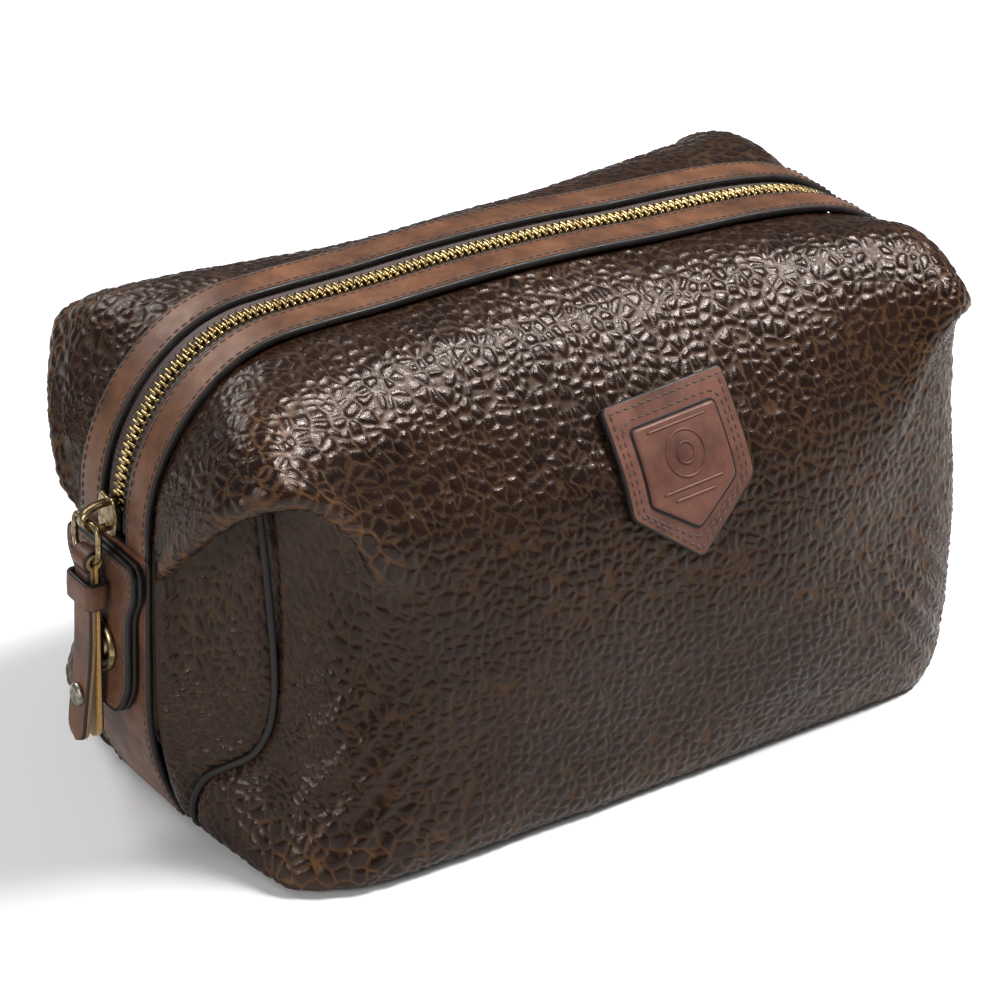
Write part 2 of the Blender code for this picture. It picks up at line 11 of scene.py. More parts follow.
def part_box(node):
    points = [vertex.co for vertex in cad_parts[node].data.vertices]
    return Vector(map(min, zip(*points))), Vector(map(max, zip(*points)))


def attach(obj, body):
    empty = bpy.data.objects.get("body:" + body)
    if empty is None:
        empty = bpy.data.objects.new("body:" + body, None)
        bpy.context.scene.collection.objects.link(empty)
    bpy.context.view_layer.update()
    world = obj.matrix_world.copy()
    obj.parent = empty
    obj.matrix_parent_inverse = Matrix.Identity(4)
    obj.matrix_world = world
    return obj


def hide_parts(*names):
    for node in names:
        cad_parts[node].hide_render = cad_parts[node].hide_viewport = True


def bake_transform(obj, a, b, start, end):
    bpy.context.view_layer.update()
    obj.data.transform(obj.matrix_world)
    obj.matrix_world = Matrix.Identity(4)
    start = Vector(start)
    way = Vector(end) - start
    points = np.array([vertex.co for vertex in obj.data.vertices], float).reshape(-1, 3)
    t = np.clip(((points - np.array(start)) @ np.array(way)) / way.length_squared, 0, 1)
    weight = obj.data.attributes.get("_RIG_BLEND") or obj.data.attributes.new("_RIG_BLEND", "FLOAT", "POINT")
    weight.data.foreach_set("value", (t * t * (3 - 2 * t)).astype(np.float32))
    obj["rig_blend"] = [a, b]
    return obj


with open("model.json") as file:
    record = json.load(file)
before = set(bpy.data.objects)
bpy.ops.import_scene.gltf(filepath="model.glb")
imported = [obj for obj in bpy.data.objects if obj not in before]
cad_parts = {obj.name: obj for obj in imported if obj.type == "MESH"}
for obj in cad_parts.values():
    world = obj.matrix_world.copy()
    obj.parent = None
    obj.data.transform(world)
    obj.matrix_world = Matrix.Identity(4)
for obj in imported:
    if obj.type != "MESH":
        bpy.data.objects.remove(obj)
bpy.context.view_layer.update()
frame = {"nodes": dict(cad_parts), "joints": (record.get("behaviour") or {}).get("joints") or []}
MM = 0.001

# ---------------------------------------------------------------- places from the frame


def low_mm(node):
    return np.array(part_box(node)[0]) / MM


def high_mm(node):
    return np.array(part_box(node)[1]) / MM


def joint_mm(name):
    joint = next(item for item in frame["joints"] if item["name"] == name)
    return np.array(joint["pos_m"]) / MM


ZIP_CENTRE = joint_mm("zip_run")
LINK_PIVOT = joint_mm("link_swing")
PULL_PIVOT = joint_mm("pull_swing")
FLAP_END = high_mm("front_flap")[0]
RIBBON_HALF = high_mm("left_band")[1]
HALF_LENGTH = -low_mm("left_band")[0]
CORNER_RADIUS = HALF_LENGTH + ZIP_CENTRE[0]
ZIP_FOOT = ZIP_CENTRE[2]
LEFT_SLOPE, RIGHT_SLOPE = 8.5, 12.4
BAND_KNEE, BAND_RADIUS, BAND_SWEEP = 45.0, 80.0, 32.5
RIBBON_DIP, LEFT_DIP_START, RIGHT_DIP_START, DIP_RUN = 5.0, 52.0, 75.0, 72.0
STRIP_INNER = 6.5
ENDS = (("left", -1), ("right", 1))
# The flaps bend from BEND_BELOW under the hinge to BEND_ABOVE over it, and the bend fades
# out along the bag, round the flap's end.
BEND_BELOW, BEND_ABOVE = 12.0, 8.0
FADE_BEFORE, FADE_AFTER = 24.0, 26.0


# ---------------------------------------------------------------- small mathematics


def direction(degrees):
    angle = np.radians(degrees)
    return np.stack([np.cos(angle), np.sin(angle)], -1)


def smooth(value, low, high):
    t = np.clip((np.asarray(value, float) - low) / (high - low), 0, 1)
    return t * t * (3 - 2 * t)


def ribbon_arcs():
    left = np.array([-HALF_LENGTH + CORNER_RADIUS, ZIP_FOOT])
    first, last = 90 + LEFT_SLOPE, 90 - RIGHT_SLOPE
    spare = 2 * (HALF_LENGTH - CORNER_RADIUS) / (direction(last) - direction(first))[0]
    top = left - spare * direction(first)
    right = top + spare * direction(last)
    return ((left, CORNER_RADIUS, 180.0, first), (top, CORNER_RADIUS + spare, first, last),
            (right, CORNER_RADIUS, last, 0.0))


ARCS = ribbon_arcs()
ARC_ENDS = np.cumsum([0] + [r * math.radians(a - b) for _, r, a, b in ARCS])
ZIP_LENGTH = ARC_ENDS[-1]
RIGHT_FOOT = ARCS[2][0][1]


def spine(s):
    """Point (x, z) and outward normal of the ribbon at distances s along the zip."""
    s = np.atleast_1d(np.asarray(s, float))
    point, normal = np.zeros((len(s), 2)), np.zeros((len(s), 2))
    for (centre, radius, start, _end), low, high in zip(ARCS, ARC_ENDS, ARC_ENDS[1:]):
        here = (s >= low) & (s <= high)
        normal[here] = direction(start - np.degrees((s[here] - low) / radius))
        point[here] = centre + radius * normal[here]
    for here, run, foot, side in ((s < 0, -s, ZIP_FOOT, 1),
                                  (s > ZIP_LENGTH, s - ZIP_LENGTH, RIGHT_FOOT, -1)):
        turn = np.maximum(run[here] - (foot - BAND_KNEE), 0) / BAND_RADIUS
        out = direction(180 + np.degrees(turn))
        straight = np.maximum(foot - run[here], BAND_KNEE) - BAND_KNEE
        centre = np.array([-HALF_LENGTH + BAND_RADIUS, BAND_KNEE])
        place = centre + BAND_RADIUS * out + np.stack([0 * straight, straight], -1)
        point[here] = place * (side, 1)
        normal[here] = out * (side, 1)
    return point, normal


def dip(s):
    """How far the ribbon sags below its arcs, mid-way along the zip."""
    left = smooth(s, LEFT_DIP_START, LEFT_DIP_START + DIP_RUN)
    return RIBBON_DIP * left * smooth(ZIP_LENGTH - s, RIGHT_DIP_START, RIGHT_DIP_START + DIP_RUN)


def ribbon(s, y, height):
    """Points on the ribbon, in mm: s along it, y across it, height above its centre line."""
    s, y, height = np.broadcast_arrays(*(np.asarray(v, float) for v in (s, y, height)))
    point, normal = spine(s.ravel())
    level = (height - dip(s)).ravel()
    place = point + normal * level[:, None]
    return np.stack([place[:, 0], y.ravel(), place[:, 1]], -1).reshape(s.shape + (3,))


def s_at_x(x):
    table = np.linspace(ARC_ENDS[1] * 0.4, ZIP_LENGTH - (ARC_ENDS[3] - ARC_ENDS[2]) * 0.4, 400)
    return np.interp(x, spine(table)[0][:, 0], table)


def distance_along(points):
    """Distance from the first point to each point of a line."""
    return np.concatenate([[0], np.cumsum(np.linalg.norm(np.diff(points, axis=0), axis=1))])


def lattice(cells, seed):
    """Repeatable random number from 0 to 1 for whole-number cells (..., 3)."""
    c = cells.astype(np.int64)
    h = (c[..., 0] * 73856093) ^ (c[..., 1] * 19349663) ^ (c[..., 2] * 83492791) ^ (seed * 2654435761)
    h = (h ^ (h >> 13)) * 1274126177 & 0xFFFFFFFF
    h = (h ^ (h >> 16)) * 2246822519 & 0xFFFFFFFF
    return ((h ^ (h >> 15)) & 0xFFFFFF) / float(0x1000000)


def noise(points, size, seed):
    """Smooth noise from -1 to 1 with features of a size in mm."""
    p = points / size
    base = np.floor(p)
    f = p - base
    f = f * f * (3 - 2 * f)
    total = 0
    for dx in (0, 1):
        for dy in (0, 1):
            for dz in (0, 1):
                weight = (f[..., 0] if dx else 1 - f[..., 0]) * (f[..., 1] if dy else 1 - f[..., 1])
                weight = weight * (f[..., 2] if dz else 1 - f[..., 2])
                total = total + weight * lattice(base + (dx, dy, dz), seed)
    return total * 2 - 1


def pebbles(points, seed):
    """Distance to the nearest crease between cells one unit wide, and a number per cell."""
    base = np.floor(points)
    shape = points.shape[:-1]
    near, next_near = np.full(shape, 9.0), np.full(shape, 9.0)
    near_at, next_at = np.zeros(points.shape), np.zeros(points.shape)
    chosen = np.zeros(shape)
    for offset in np.ndindex(3, 3, 3):
        cell = base + np.array(offset) - 1
        jitter = np.stack([lattice(cell, seed + k) for k in range(3)], -1)
        centre = cell + 0.5 + (jitter - 0.5) * 0.86
        gap = np.linalg.norm(points - centre, axis=-1)
        first = gap < near
        second = (gap < next_near) & ~first
        next_near = np.where(first, near, np.where(second, gap, next_near))
        next_at = np.where(first[..., None], near_at, np.where(second[..., None], centre, next_at))
        near_at = np.where(first[..., None], centre, near_at)
        chosen = np.where(first, jitter[..., 0], chosen)
        near = np.where(first, gap, near)
    apart = np.linalg.norm(next_at - near_at, axis=-1) + 1e-6
    return (next_near**2 - near**2) / (2 * apart), chosen


# ---------------------------------------------------------------- the leather walls

# Lines of the wall from the ribbon's edge down to the base: edge, roof, crest, hinge,
# below the fold, middle, low, toe, base.  Front left quarter, mm.
STATIONS = {
    "band": [(-138.5, -21, 99), (-138.5, -21, 95), (-138.5, -21.4, 91),
             (-138.4, -21.6, 86), (-138.2, -21.6, 80), (-138, -21.6, 52),
             (-136.0, -21.6, 28), (-130, -21.6, 7), (-122, -21.6, 0)],
    "gusset": [(-136, -19.4, 114), (-137, -25, 113), (-138, -31, 110),
               (-136, -36, 103), (-125, -31, 100), (-126, -32, 60),
               (-128, -34, 30), (-128, -36, 7), (-119, -34, 0)],
    "seam": [(-127, -19.4, 133), (-129, -32, 132), (-132, -45, 130),
             (-130, -53, 120), (-117, -39.5, 117), (-114, -45.5, 66),
             (-117, -49, 32), (-123, -56, 5), (-115, -51, 0)],
    "corner": [(-113, -19.4, 145), (-118, -36, 144), (-121, -54, 138),
               (-119, -63, 126), (-105, -57.5, 110), (-105, -59.5, 66),
               (-112, -62, 34), (-118, -69, 5), (-112, -62, 0)],
    "flap end": [(-92, -19.4, 151), (-92, -38, 146), (-92, -54, 134),
                 (-92, -62, 117), (-92, -67, 97), (-92, -70, 64),
                 (-95, -74, 32), (-98, -78, 4), (-94, -65, 0)],
    "outer": [(-60, -19.4, 154), (-60, -37, 145.5), (-60, -52, 132),
              (-60, -61.5, 117), (-60, -70, 97), (-60, -75.5, 64),
              (-60, -77.5, 32), (-60, -78.5, 4), (-59, -66, 0)],
    "inner": [(-30, -19.4, 155), (-30, -36, 145), (-30, -50, 132),
              (-30, -61, 117), (-30, -71, 97), (-30, -77, 64),
              (-30, -78, 32), (-30, -77.5, 4), (-30, -66, 0)],
    "middle": [(0, -19.4, 154), (0, -36, 145), (0, -50, 132),
               (0, -61, 117), (0, -71, 97), (0, -77, 64),
               (0, -77, 32), (0, -76, 4), (0, -66, 0)],
}
FLAP_LEFT, MIDDLE, FLAP_RIGHT, LAST = 4, 7, 10, 14
CREST, TOE, BASE = 2, 7, 8
# The right end is fuller than the left: how far it stands out, per station and row.
RIGHT_PUSH = {"gusset": 8.0, "seam": 14.0, "corner": 16.0}
PUSH_SHARE = (0, -0.25, -0.45, -0.25, 0.85, 1.0, 0.5, -0.2, -0.3)
# The back's right shoulder stands further out and closer in than the front's.
BACK_SHIFT = {2: (3, 2), 3: (3, 1), 8: (0, -2), 9: (0, -5), 10: (-2, -6.5), 11: (-6, -7.5),
              12: (-7, -6)}
BACK_SHARE = (0, 0.6, 1.0, 0.8, 0.3, 0, 0, 0, 0)
RIGHT_TOE_BACK = {"corner": 6.0, "flap end": 8.0, "outer": 6.0, "inner": 3.0}
STATION_STEP = 30.0
# Points where each upper edge is tucked under the strip, as distances from the zip's foot.
EDGE_RUN = (0.0, 17.0, 37.0, 57.0)
TUCK_Y, TUCK_DEPTH = 17.0, 2.6
TUCK_ROWS = 0.12
LEATHER = 2.0
LINING_GAP = 1.6
LINING_REACH = 108.0
GRAIN_STEP = 0.58
PEBBLE, FINE_SHARE = 3.9, 2.3
PEBBLE_SEED, FINE_SEED = 21, 31
PIPING_REACH = 7.0


def wall_cage(side):
    left = np.array(list(STATIONS.values()), float)
    cage = np.concatenate([left, left[:-1][::-1] * (-1, 1, 1)])
    for i, name in enumerate(STATIONS):
        cage[-1 - i, :, 0] += RIGHT_PUSH.get(name, 0.0) * np.array(PUSH_SHARE)
        cage[-1 - i, TOE, 1] += RIGHT_TOE_BACK.get(name, 0.0)
    for i, run in enumerate(EDGE_RUN):
        cage[i, 0] = ribbon(run, -TUCK_Y, -TUCK_DEPTH)
        cage[-1 - i, 0] = ribbon(ZIP_LENGTH - run, -TUCK_Y, -TUCK_DEPTH)
    for i in range(FLAP_LEFT, FLAP_RIGHT + 1):
        cage[i, 0] = ribbon(s_at_x(cage[i, 1, 0]), -TUCK_Y, -TUCK_DEPTH)
    if side > 0:
        for i, (dx, dy) in BACK_SHIFT.items():
            cage[i, :, :2] += np.outer(BACK_SHARE, (dx, dy))
    return cage


CAGES = {side: wall_cage(side) for side in (-1, 1)}


def through(points, t):
    """Smooth curve through rows of points at parameters t: points (n, ...), t (m,)."""
    ends = 2 * points[:1] - points[1:2], 2 * points[-1:] - points[-2:-1]
    padded = np.concatenate([ends[0], points, ends[1]])
    i = np.clip(np.floor(t).astype(int), 0, len(points) - 2)
    f = (t - i).reshape((-1,) + (1,) * (points.ndim - 1))
    p0, p1, p2, p3 = (padded[i + k] for k in range(4))
    slope1, slope2 = (p2 - p0) / 2, (p3 - p1) / 2
    return ((2 * f**3 - 3 * f**2 + 1) * p1 + (f**3 - 2 * f**2 + f) * slope1
            + (3 * f**2 - 2 * f**3) * p2 + (f**3 - f**2) * slope2)


def wall_grid(us, vs, side=-1):
    """One wall on a grid of stations us and rows vs, in mm, drawn as if it were the front."""
    lines = through(CAGES[side], us)
    return np.moveaxis(through(np.moveaxis(lines, 1, 0), vs), 0, 1)


def wall_spots(u, v, side=-1):
    """One wall at pairs of u and v, with outward normals, drawn as if it were the front."""
    u, v = np.asarray(u, float), np.asarray(v, float)
    step = 0.02

    def at(a, b):
        lines = through(CAGES[side], a)
        return np.array([through(line, np.array([row]))[0] for line, row in zip(lines, b)])

    along = at(u + step, v) - at(u - step, v)
    down = at(u, v + step) - at(u, v - step)
    normal = np.cross(down, along)
    return at(u, v), normal / np.linalg.norm(normal, axis=-1, keepdims=True)


def evenly(low, high, measure, spacing):
    """Parameters from low to high, about spacing mm apart along the mean of some lines."""
    rough = np.linspace(low, high, 600)
    lines = measure(rough)
    steps = np.linalg.norm(np.diff(lines, axis=0), axis=-1).mean(axis=1)
    run = np.concatenate([[0], np.cumsum(steps)])
    count = int(run[-1] / spacing)
    return np.interp(np.linspace(0, run[-1], count + 1), run, rough)


def grid_normals(grid):
    normal = np.cross(np.gradient(grid, axis=1), np.gradient(grid, axis=0))
    return normal / (np.linalg.norm(normal, axis=-1, keepdims=True) + 1e-9)


# The welt's way over the wall as (station, row): down the gusset, round under it.
SEAM_KNOTS = [(2.0, 3.62), (2.0, 4.0), (2.0, 4.5), (2.0, 5.0), (2.0, 5.35), (1.92, 5.65),
              (1.68, 5.9), (1.3, 6.05), (0.95, 6.2), (0.68, 6.45), (0.48, 6.8), (0.3, 7.5)]
SEAM_POINTS = 160


def seam_points(end, side):
    """Points and outward normals of one welt, on the side of the bag that it is on."""
    route = through(np.array(SEAM_KNOTS), np.linspace(0, len(SEAM_KNOTS) - 1, SEAM_POINTS))
    u = LAST - route[:, 0] if end == "right" else route[:, 0]
    points, normals = wall_spots(u, route[:, 1], side)
    return points * (1, -side, 1), normals * (1, -side, 1)


def from_ends(us, vs):
    """Stations from the nearer end of the bag, for each point of a grid."""
    return np.minimum(us, LAST - us)[:, None] + 0 * vs


def nearest(points, targets, reach):
    """Distance from each point to the nearest target, worked out only within reach."""
    flat = points.reshape(-1, 3)
    result = np.full(len(flat), reach)
    low, high = targets.min(0) - reach, targets.max(0) + reach
    inside = np.flatnonzero(((flat > low) & (flat < high)).all(1))
    for start in range(0, len(inside), 20000):
        part = inside[start:start + 20000]
        gaps = np.linalg.norm(flat[part, None] - targets[None], axis=-1)
        result[part] = np.minimum(gaps.min(1), reach)
    return result.reshape(points.shape[:-1])


def lip_row(ends):
    """Row where the shoulder's rolled lip ends over the box end."""
    return 3.28 + 0.9 * smooth(ends, 3.0, 4.2)


def overhang(ends, v, lip, points):
    """The shoulder's rolled lip and the hollow under it, in mm: slight at the fuller right end."""
    reach = (1 - smooth(ends, 3.6, 4.5)) * smooth(ends, 0.0, 0.5)
    reach = reach * (1 - 0.8 * smooth(points[..., 0], 0, 60))
    roll = 3.2 * np.exp(-((v - lip + 0.42) / 0.42) ** 2)
    hollow = 3.4 * smooth(v, lip - 0.12, lip + 0.16) * (1 - smooth(v, lip + 0.7, lip + 2.2))
    return reach * (roll - hollow)


def stretched(points, v, lip):
    """Where the leather is pulled tight and its creases show tan: 0 to 1."""
    x, y, z = points[..., 0], np.abs(points[..., 1]), points[..., 2]
    ear = smooth(np.abs(x), 98, 124) * smooth(z, 104, 132) * smooth(y, 34, 56) * 0.8
    roll = np.exp(-((v - lip + 0.30) / 0.42) ** 2) * smooth(np.abs(x), 84, 104)
    foot = (1 - smooth(z, 4, 26)) * smooth(y, 46, 62) * (0.45 + 0.55 * smooth(np.abs(x), 84, 110))
    side = smooth(x, 40, 110) * smooth(y, 50, 62) * 0.45
    patchy = 0.5 + 0.5 * noise(points, 26.0, 5)
    return np.clip(0.18 + 0.68 * np.maximum.reduce([ear, roll, foot, side]) * (0.45 + 0.8 * patchy)
                   + 0.20 * patchy, 0, 1)


def grain(points, v, lip):
    """Grain height in mm, crease depth, cell number and stretch for wall points."""
    x, z = points[..., 0], points[..., 2]
    recess = smooth(np.abs(x), 104, 112) * (1 - smooth(z, 108, 120)) * smooth(z, 20, 60)
    foot = smooth(-x, 60, 120) * (1 - smooth(z, 20, 50))
    size = PEBBLE + 0.5 * noise(points, 60.0, 1) - 0.9 * recess + 0.5 * foot
    squeeze = np.stack([1 + 0.25 * recess, 1 + 0.25 * recess, 1 - 0.38 * recess], -1)
    warp = np.stack([noise(points, 5.0, 11 + k) for k in range(3)], -1)
    place = (points * squeeze + 1.1 * warp) / size[..., None]
    edge, cell = pebbles(place, PEBBLE_SEED)
    edge = edge * size
    fine = pebbles(place * FINE_SHARE + 7.7, FINE_SEED)[0] * size / FINE_SHARE
    dome = 1 - np.exp(-(edge / 0.62) ** 1.3)
    wrinkle = 1 - np.exp(-(fine / 0.30) ** 1.4)
    swell = 0.72 + 0.5 * cell
    height = 0.50 * dome * swell + 0.07 * wrinkle * dome + 0.05 * noise(points, 1.3, 41)
    crease = np.clip(1 - edge / 0.42, 0, 1)
    crease = np.maximum(crease, 0.30 * np.clip(1 - fine / 0.2, 0, 1))
    return height, crease, cell, stretched(points, v, lip)


def sag(points, v):
    """Slow unevenness of the soft walls, in mm."""
    quiet = smooth(v, 0.15, 0.9) * (1 - smooth(v, 7.0, 8.0))
    slow = 1.5 * noise(points, 48.0, 51) + 0.6 * noise(points, 21.0, 52)
    pull = np.exp(-((np.abs(points[..., 0]) - 100) / 16) ** 2) * np.exp(-((v - 6.1) / 0.9) ** 2)
    folds = np.sin((np.abs(points[..., 0]) * 0.55 + points[..., 2] * 0.5)) * 0.55 * pull
    return quiet * slow + folds


# ---------------------------------------------------------------- meshes


def new_object(name, verts_mm, faces, materials, face_material=None, smooth_faces=True):
    """Mesh object from points in mm and faces, given as a grid's array or as lists."""
    mesh = bpy.data.meshes.new(name)
    verts = np.asarray(verts_mm, float).reshape(-1, 3) * MM
    mesh.vertices.add(len(verts))
    mesh.vertices.foreach_set("co", verts.astype(np.float32).ravel())
    if isinstance(faces, np.ndarray):
        totals = np.full(len(faces), faces.shape[1])
        loops = faces.ravel()
    else:
        totals = np.array([len(face) for face in faces])
        loops = np.concatenate(faces)
    mesh.loops.add(len(loops))
    mesh.loops.foreach_set("vertex_index", loops.astype(np.int32))
    mesh.polygons.add(len(totals))
    starts = np.concatenate([[0], np.cumsum(totals)[:-1]])
    mesh.polygons.foreach_set("loop_start", starts.astype(np.int32))
    mesh.update(calc_edges=True)
    if smooth_faces:
        mesh.shade_smooth()
    for item in materials:
        mesh.materials.append(item)
    if face_material is not None:
        mesh.polygons.foreach_set("material_index", np.asarray(face_material, np.int32))
    mesh.validate()
    item = bpy.data.objects.new(name, mesh)
    bpy.context.collection.objects.link(item)
    return item


def paint(item, **values):
    """Store numbers per vertex for the materials to read."""
    for name, numbers in values.items():
        attribute = item.data.attributes.new(name, "FLOAT", "POINT")
        attribute.data.foreach_set("value", np.asarray(numbers, np.float32).ravel())


def grid_faces(columns, rows, flip=False, wrap=False):
    """Quads of a grid stored column by column; wrap joins the last row to the first."""
    i, j = np.meshgrid(np.arange(columns - 1), np.arange(rows if wrap else rows - 1), indexing="ij")
    a, b = i * rows + j, i * rows + (j + 1) % rows
    quads = np.stack([a, b, b + rows, a + rows], -1).reshape(-1, 4)
    return quads[:, ::-1] if flip else quads


def capped_faces(rings, count):
    """Faces of rings of count points each, with a cap on the first and the last ring."""
    faces = [list(face) for face in grid_faces(rings, count, wrap=True)]
    return faces + [list(range(count))[::-1], list(range((rings - 1) * count, rings * count))]


def weight_root_to_flap(item, side):
    """Bend a piece from the body onto its flap: above the hinge line, away from the ears.
    """
    body = "front_flap" if side < 0 else "back_flap"
    hinge = joint_mm(f"{body}_fold")
    start = (hinge - (0, 0, BEND_BELOW)) * MM
    end = (hinge + (0, 0, BEND_ABOVE)) * MM
    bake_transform(item, "root", body, start=tuple(start), end=tuple(end))
    attribute = item.data.attributes["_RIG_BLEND"]
    count = len(item.data.vertices)
    weights, places = np.zeros(count, np.float32), np.zeros(count * 3, np.float32)
    attribute.data.foreach_get("value", weights)
    item.data.vertices.foreach_get("co", places)
    x = np.abs(places.reshape(-1, 3)[:, 0]) / MM
    weights *= 1 - smooth(x, FLAP_END - FADE_BEFORE, FLAP_END + FADE_AFTER)
    attribute.data.foreach_set("value", weights.astype(np.float32))


# ---------------------------------------------------------------- materials


class Look:
    """A node material around one Principled shader."""

    def __init__(self, name, roughness=0.5, metallic=0.0, specular=0.5, sheen=0.0):
        self.material = bpy.data.materials.new(name)
        self.material.use_nodes = True
        self.tree = self.material.node_tree
        self.shader = self.tree.nodes["Principled BSDF"]
        self.set(self.shader, {"Roughness": roughness, "Metallic": metallic,
                               "Specular IOR Level": specular, "Sheen Weight": sheen})
        self.coordinates = self.node("ShaderNodeTexCoord").outputs["Object"]

    def node(self, kind, **settings):
        made = self.tree.nodes.new(kind)
        for key, value in settings.items():
            setattr(made, key, value)
        return made

    def set(self, node, values):
        for name, value in values.items():
            node.inputs[name].default_value = value

    def join(self, source, target):
        if hasattr(source, "is_output"):
            self.tree.links.new(source, target)
        else:
            target.default_value = source

    def noise(self, scale, detail=3.0, roughness=0.55, stretch=(1, 1, 1)):
        mapping = self.node("ShaderNodeMapping")
        mapping.inputs["Scale"].default_value = stretch
        self.join(self.coordinates, mapping.inputs["Vector"])
        made = self.node("ShaderNodeTexNoise")
        self.join(mapping.outputs[0], made.inputs["Vector"])
        self.set(made, {"Scale": scale, "Detail": detail, "Roughness": roughness})
        return made.outputs["Fac"]

    def cells(self, scale):
        made = self.node("ShaderNodeTexVoronoi", feature="DISTANCE_TO_EDGE")
        self.join(self.coordinates, made.inputs["Vector"])
        made.inputs["Scale"].default_value = scale
        return made.outputs["Distance"]

    def wave(self, scale, axis):
        made = self.node("ShaderNodeTexWave", bands_direction=axis)
        self.join(self.coordinates, made.inputs["Vector"])
        made.inputs["Scale"].default_value = scale
        return made.outputs["Fac"]

    def attribute(self, name):
        return self.node("ShaderNodeAttribute", attribute_name=name).outputs["Fac"]

    def math(self, operation, a, b):
        made = self.node("ShaderNodeMath", operation=operation)
        self.join(a, made.inputs[0])
        self.join(b, made.inputs[1])
        return made.outputs[0]

    def ramp(self, value, low, high, to_low=0.0, to_high=1.0):
        made = self.node("ShaderNodeMapRange")
        self.set(made, {"From Min": low, "From Max": high, "To Min": to_low, "To Max": to_high})
        self.join(value, made.inputs["Value"])
        return made.outputs["Result"]

    def mix(self, amount, first, second):
        """Mix two colours, each a node's output or three numbers."""
        made = self.node("ShaderNodeMix", data_type="RGBA")
        self.join(amount, made.inputs[0])
        for colour, socket in ((first, made.inputs[6]), (second, made.inputs[7])):
            self.join(colour if hasattr(colour, "is_output") else (*colour, 1), socket)
        return made.outputs[2]

    def bump(self, height, distance, strength=1.0, below=None):
        made = self.node("ShaderNodeBump")
        self.set(made, {"Strength": strength, "Distance": distance})
        self.join(height, made.inputs["Height"])
        if below is not None:
            self.join(below, made.inputs["Normal"])
        return made.outputs["Normal"]

    def finish(self, colour, roughness=None, normal=None):
        for value, name in ((colour, "Base Color"), (roughness, "Roughness"), (normal, "Normal")):
            if value is not None:
                self.join(value, self.shader.inputs[name])
        return self.material


def wall_leather():
    """Dark brown pebbled leather: tan in its tight creases, dark in its loose ones."""
    look = Look("wall_leather", specular=0.23)
    look.shader.inputs["Specular Tint"].default_value = (1.0, 0.84, 0.76, 1)
    crease, cell, tight = (look.attribute(name) for name in ("crease", "cell", "tight"))
    blotch = look.noise(45.0, 4.0)
    tops = look.mix(look.ramp(cell, 0, 1), (0.0045, 0.0019, 0.0014), (0.0100, 0.0043, 0.0031))
    tops = look.mix(look.ramp(blotch, 0.42, 0.72), tops, (0.013, 0.0056, 0.0034))
    tan = look.mix(look.noise(300.0, 2.0), (0.055, 0.022, 0.0062), (0.125, 0.055, 0.017))
    valley = look.mix(tight, (0.0045, 0.0028, 0.0024), tan)
    colour = look.mix(look.ramp(crease, 0.12, 0.85), tops, valley)
    worn = look.math("MULTIPLY", look.ramp(tight, 0.62, 1.0), look.ramp(blotch, 0.40, 0.62))
    colour = look.mix(look.math("MULTIPLY", worn, 0.12), colour, (0.10, 0.040, 0.016))
    roughness = look.math("ADD", look.ramp(look.noise(900.0, 2.0), 0.3, 0.7, 0.17, 0.30),
                          look.math("MULTIPLY", crease, 0.30))
    pores = look.bump(look.noise(2600.0, 3.0), 0.00006, 0.6)
    fine = look.bump(look.cells(1400.0), 0.00012, 0.5, below=pores)
    return look.finish(colour, roughness, fine)


def strip_leather(name, dark, light):
    """Smooth brown leather with faint pores, cloudy colour and darker rubbed places."""
    look = Look(name, specular=0.32)
    look.shader.inputs["Specular Tint"].default_value = (1.0, 0.86, 0.78, 1)
    cloud = look.noise(70.0, 5.0, 0.62)
    colour = look.mix(look.ramp(cloud, 0.32, 0.70), dark, light)
    streak = look.noise(260.0, 3.0, 0.6, (1, 1, 0.4))
    colour = look.mix(look.ramp(streak, 0.55, 0.80, 0, 0.5), colour, dark)
    roughness = look.ramp(look.noise(180.0, 3.0), 0.3, 0.7, 0.40, 0.56)
    normal = look.bump(look.cells(900.0), 0.00010, 0.35)
    normal = look.bump(look.noise(1500.0, 3.0), 0.00006, 0.6, below=normal)
    return look.finish(colour, roughness, normal)


def edge_paint():
    look = Look("edge_paint", specular=0.25)
    cloud = look.noise(220.0, 3.0)
    colour = look.mix(cloud, (0.003, 0.0025, 0.0022), (0.012, 0.009, 0.008))
    roughness = look.ramp(cloud, 0.3, 0.7, 0.40, 0.62)
    return look.finish(colour, roughness, look.bump(look.noise(900.0), 0.00012, 0.6))


def woven_tape():
    look = Look("zip_tape", roughness=0.85, sheen=0.2)
    weave = look.math("MULTIPLY", look.wave(620.0, "Y"), look.wave(620.0, "X"))
    colour = look.mix(weave, (0.020, 0.010, 0.009), (0.062, 0.030, 0.026))
    colour = look.mix(look.ramp(look.noise(120.0), 0.4, 0.7, 0, 0.4), colour, (0.075, 0.040, 0.030))
    return look.finish(colour, None, look.bump(weave, 0.00015, 0.8))


def lining_twill():
    look = Look("lining_twill", roughness=0.9, sheen=0.3)
    rib = look.wave(420.0, "DIAGONAL")
    colour = look.mix(rib, (0.21, 0.145, 0.08), (0.36, 0.27, 0.16))
    colour = look.mix(look.ramp(look.noise(35.0, 4.0), 0.4, 0.7, 0, 0.5), colour, (0.25, 0.17, 0.10))
    return look.finish(colour, None, look.bump(rib, 0.00012, 0.7))


def brass(name, dark, light):
    """Antique brass: brown tarnish and bright rubbed places spread as noise clouds, with dark specks."""
    look = Look(name, metallic=1.0)
    cloud = look.noise(520.0, 4.0, 0.6)
    colour = look.mix(look.ramp(cloud, 0.38, 0.66), dark, light)
    speck = look.ramp(look.noise(2200.0, 2.0), 0.62, 0.75)
    colour = look.mix(look.math("MULTIPLY", speck, 0.7), colour, (0.07, 0.045, 0.02))
    roughness = look.ramp(cloud, 0.3, 0.7, 0.42, 0.24)
    return look.finish(colour, roughness, look.bump(look.noise(1300.0), 0.00006, 0.5))


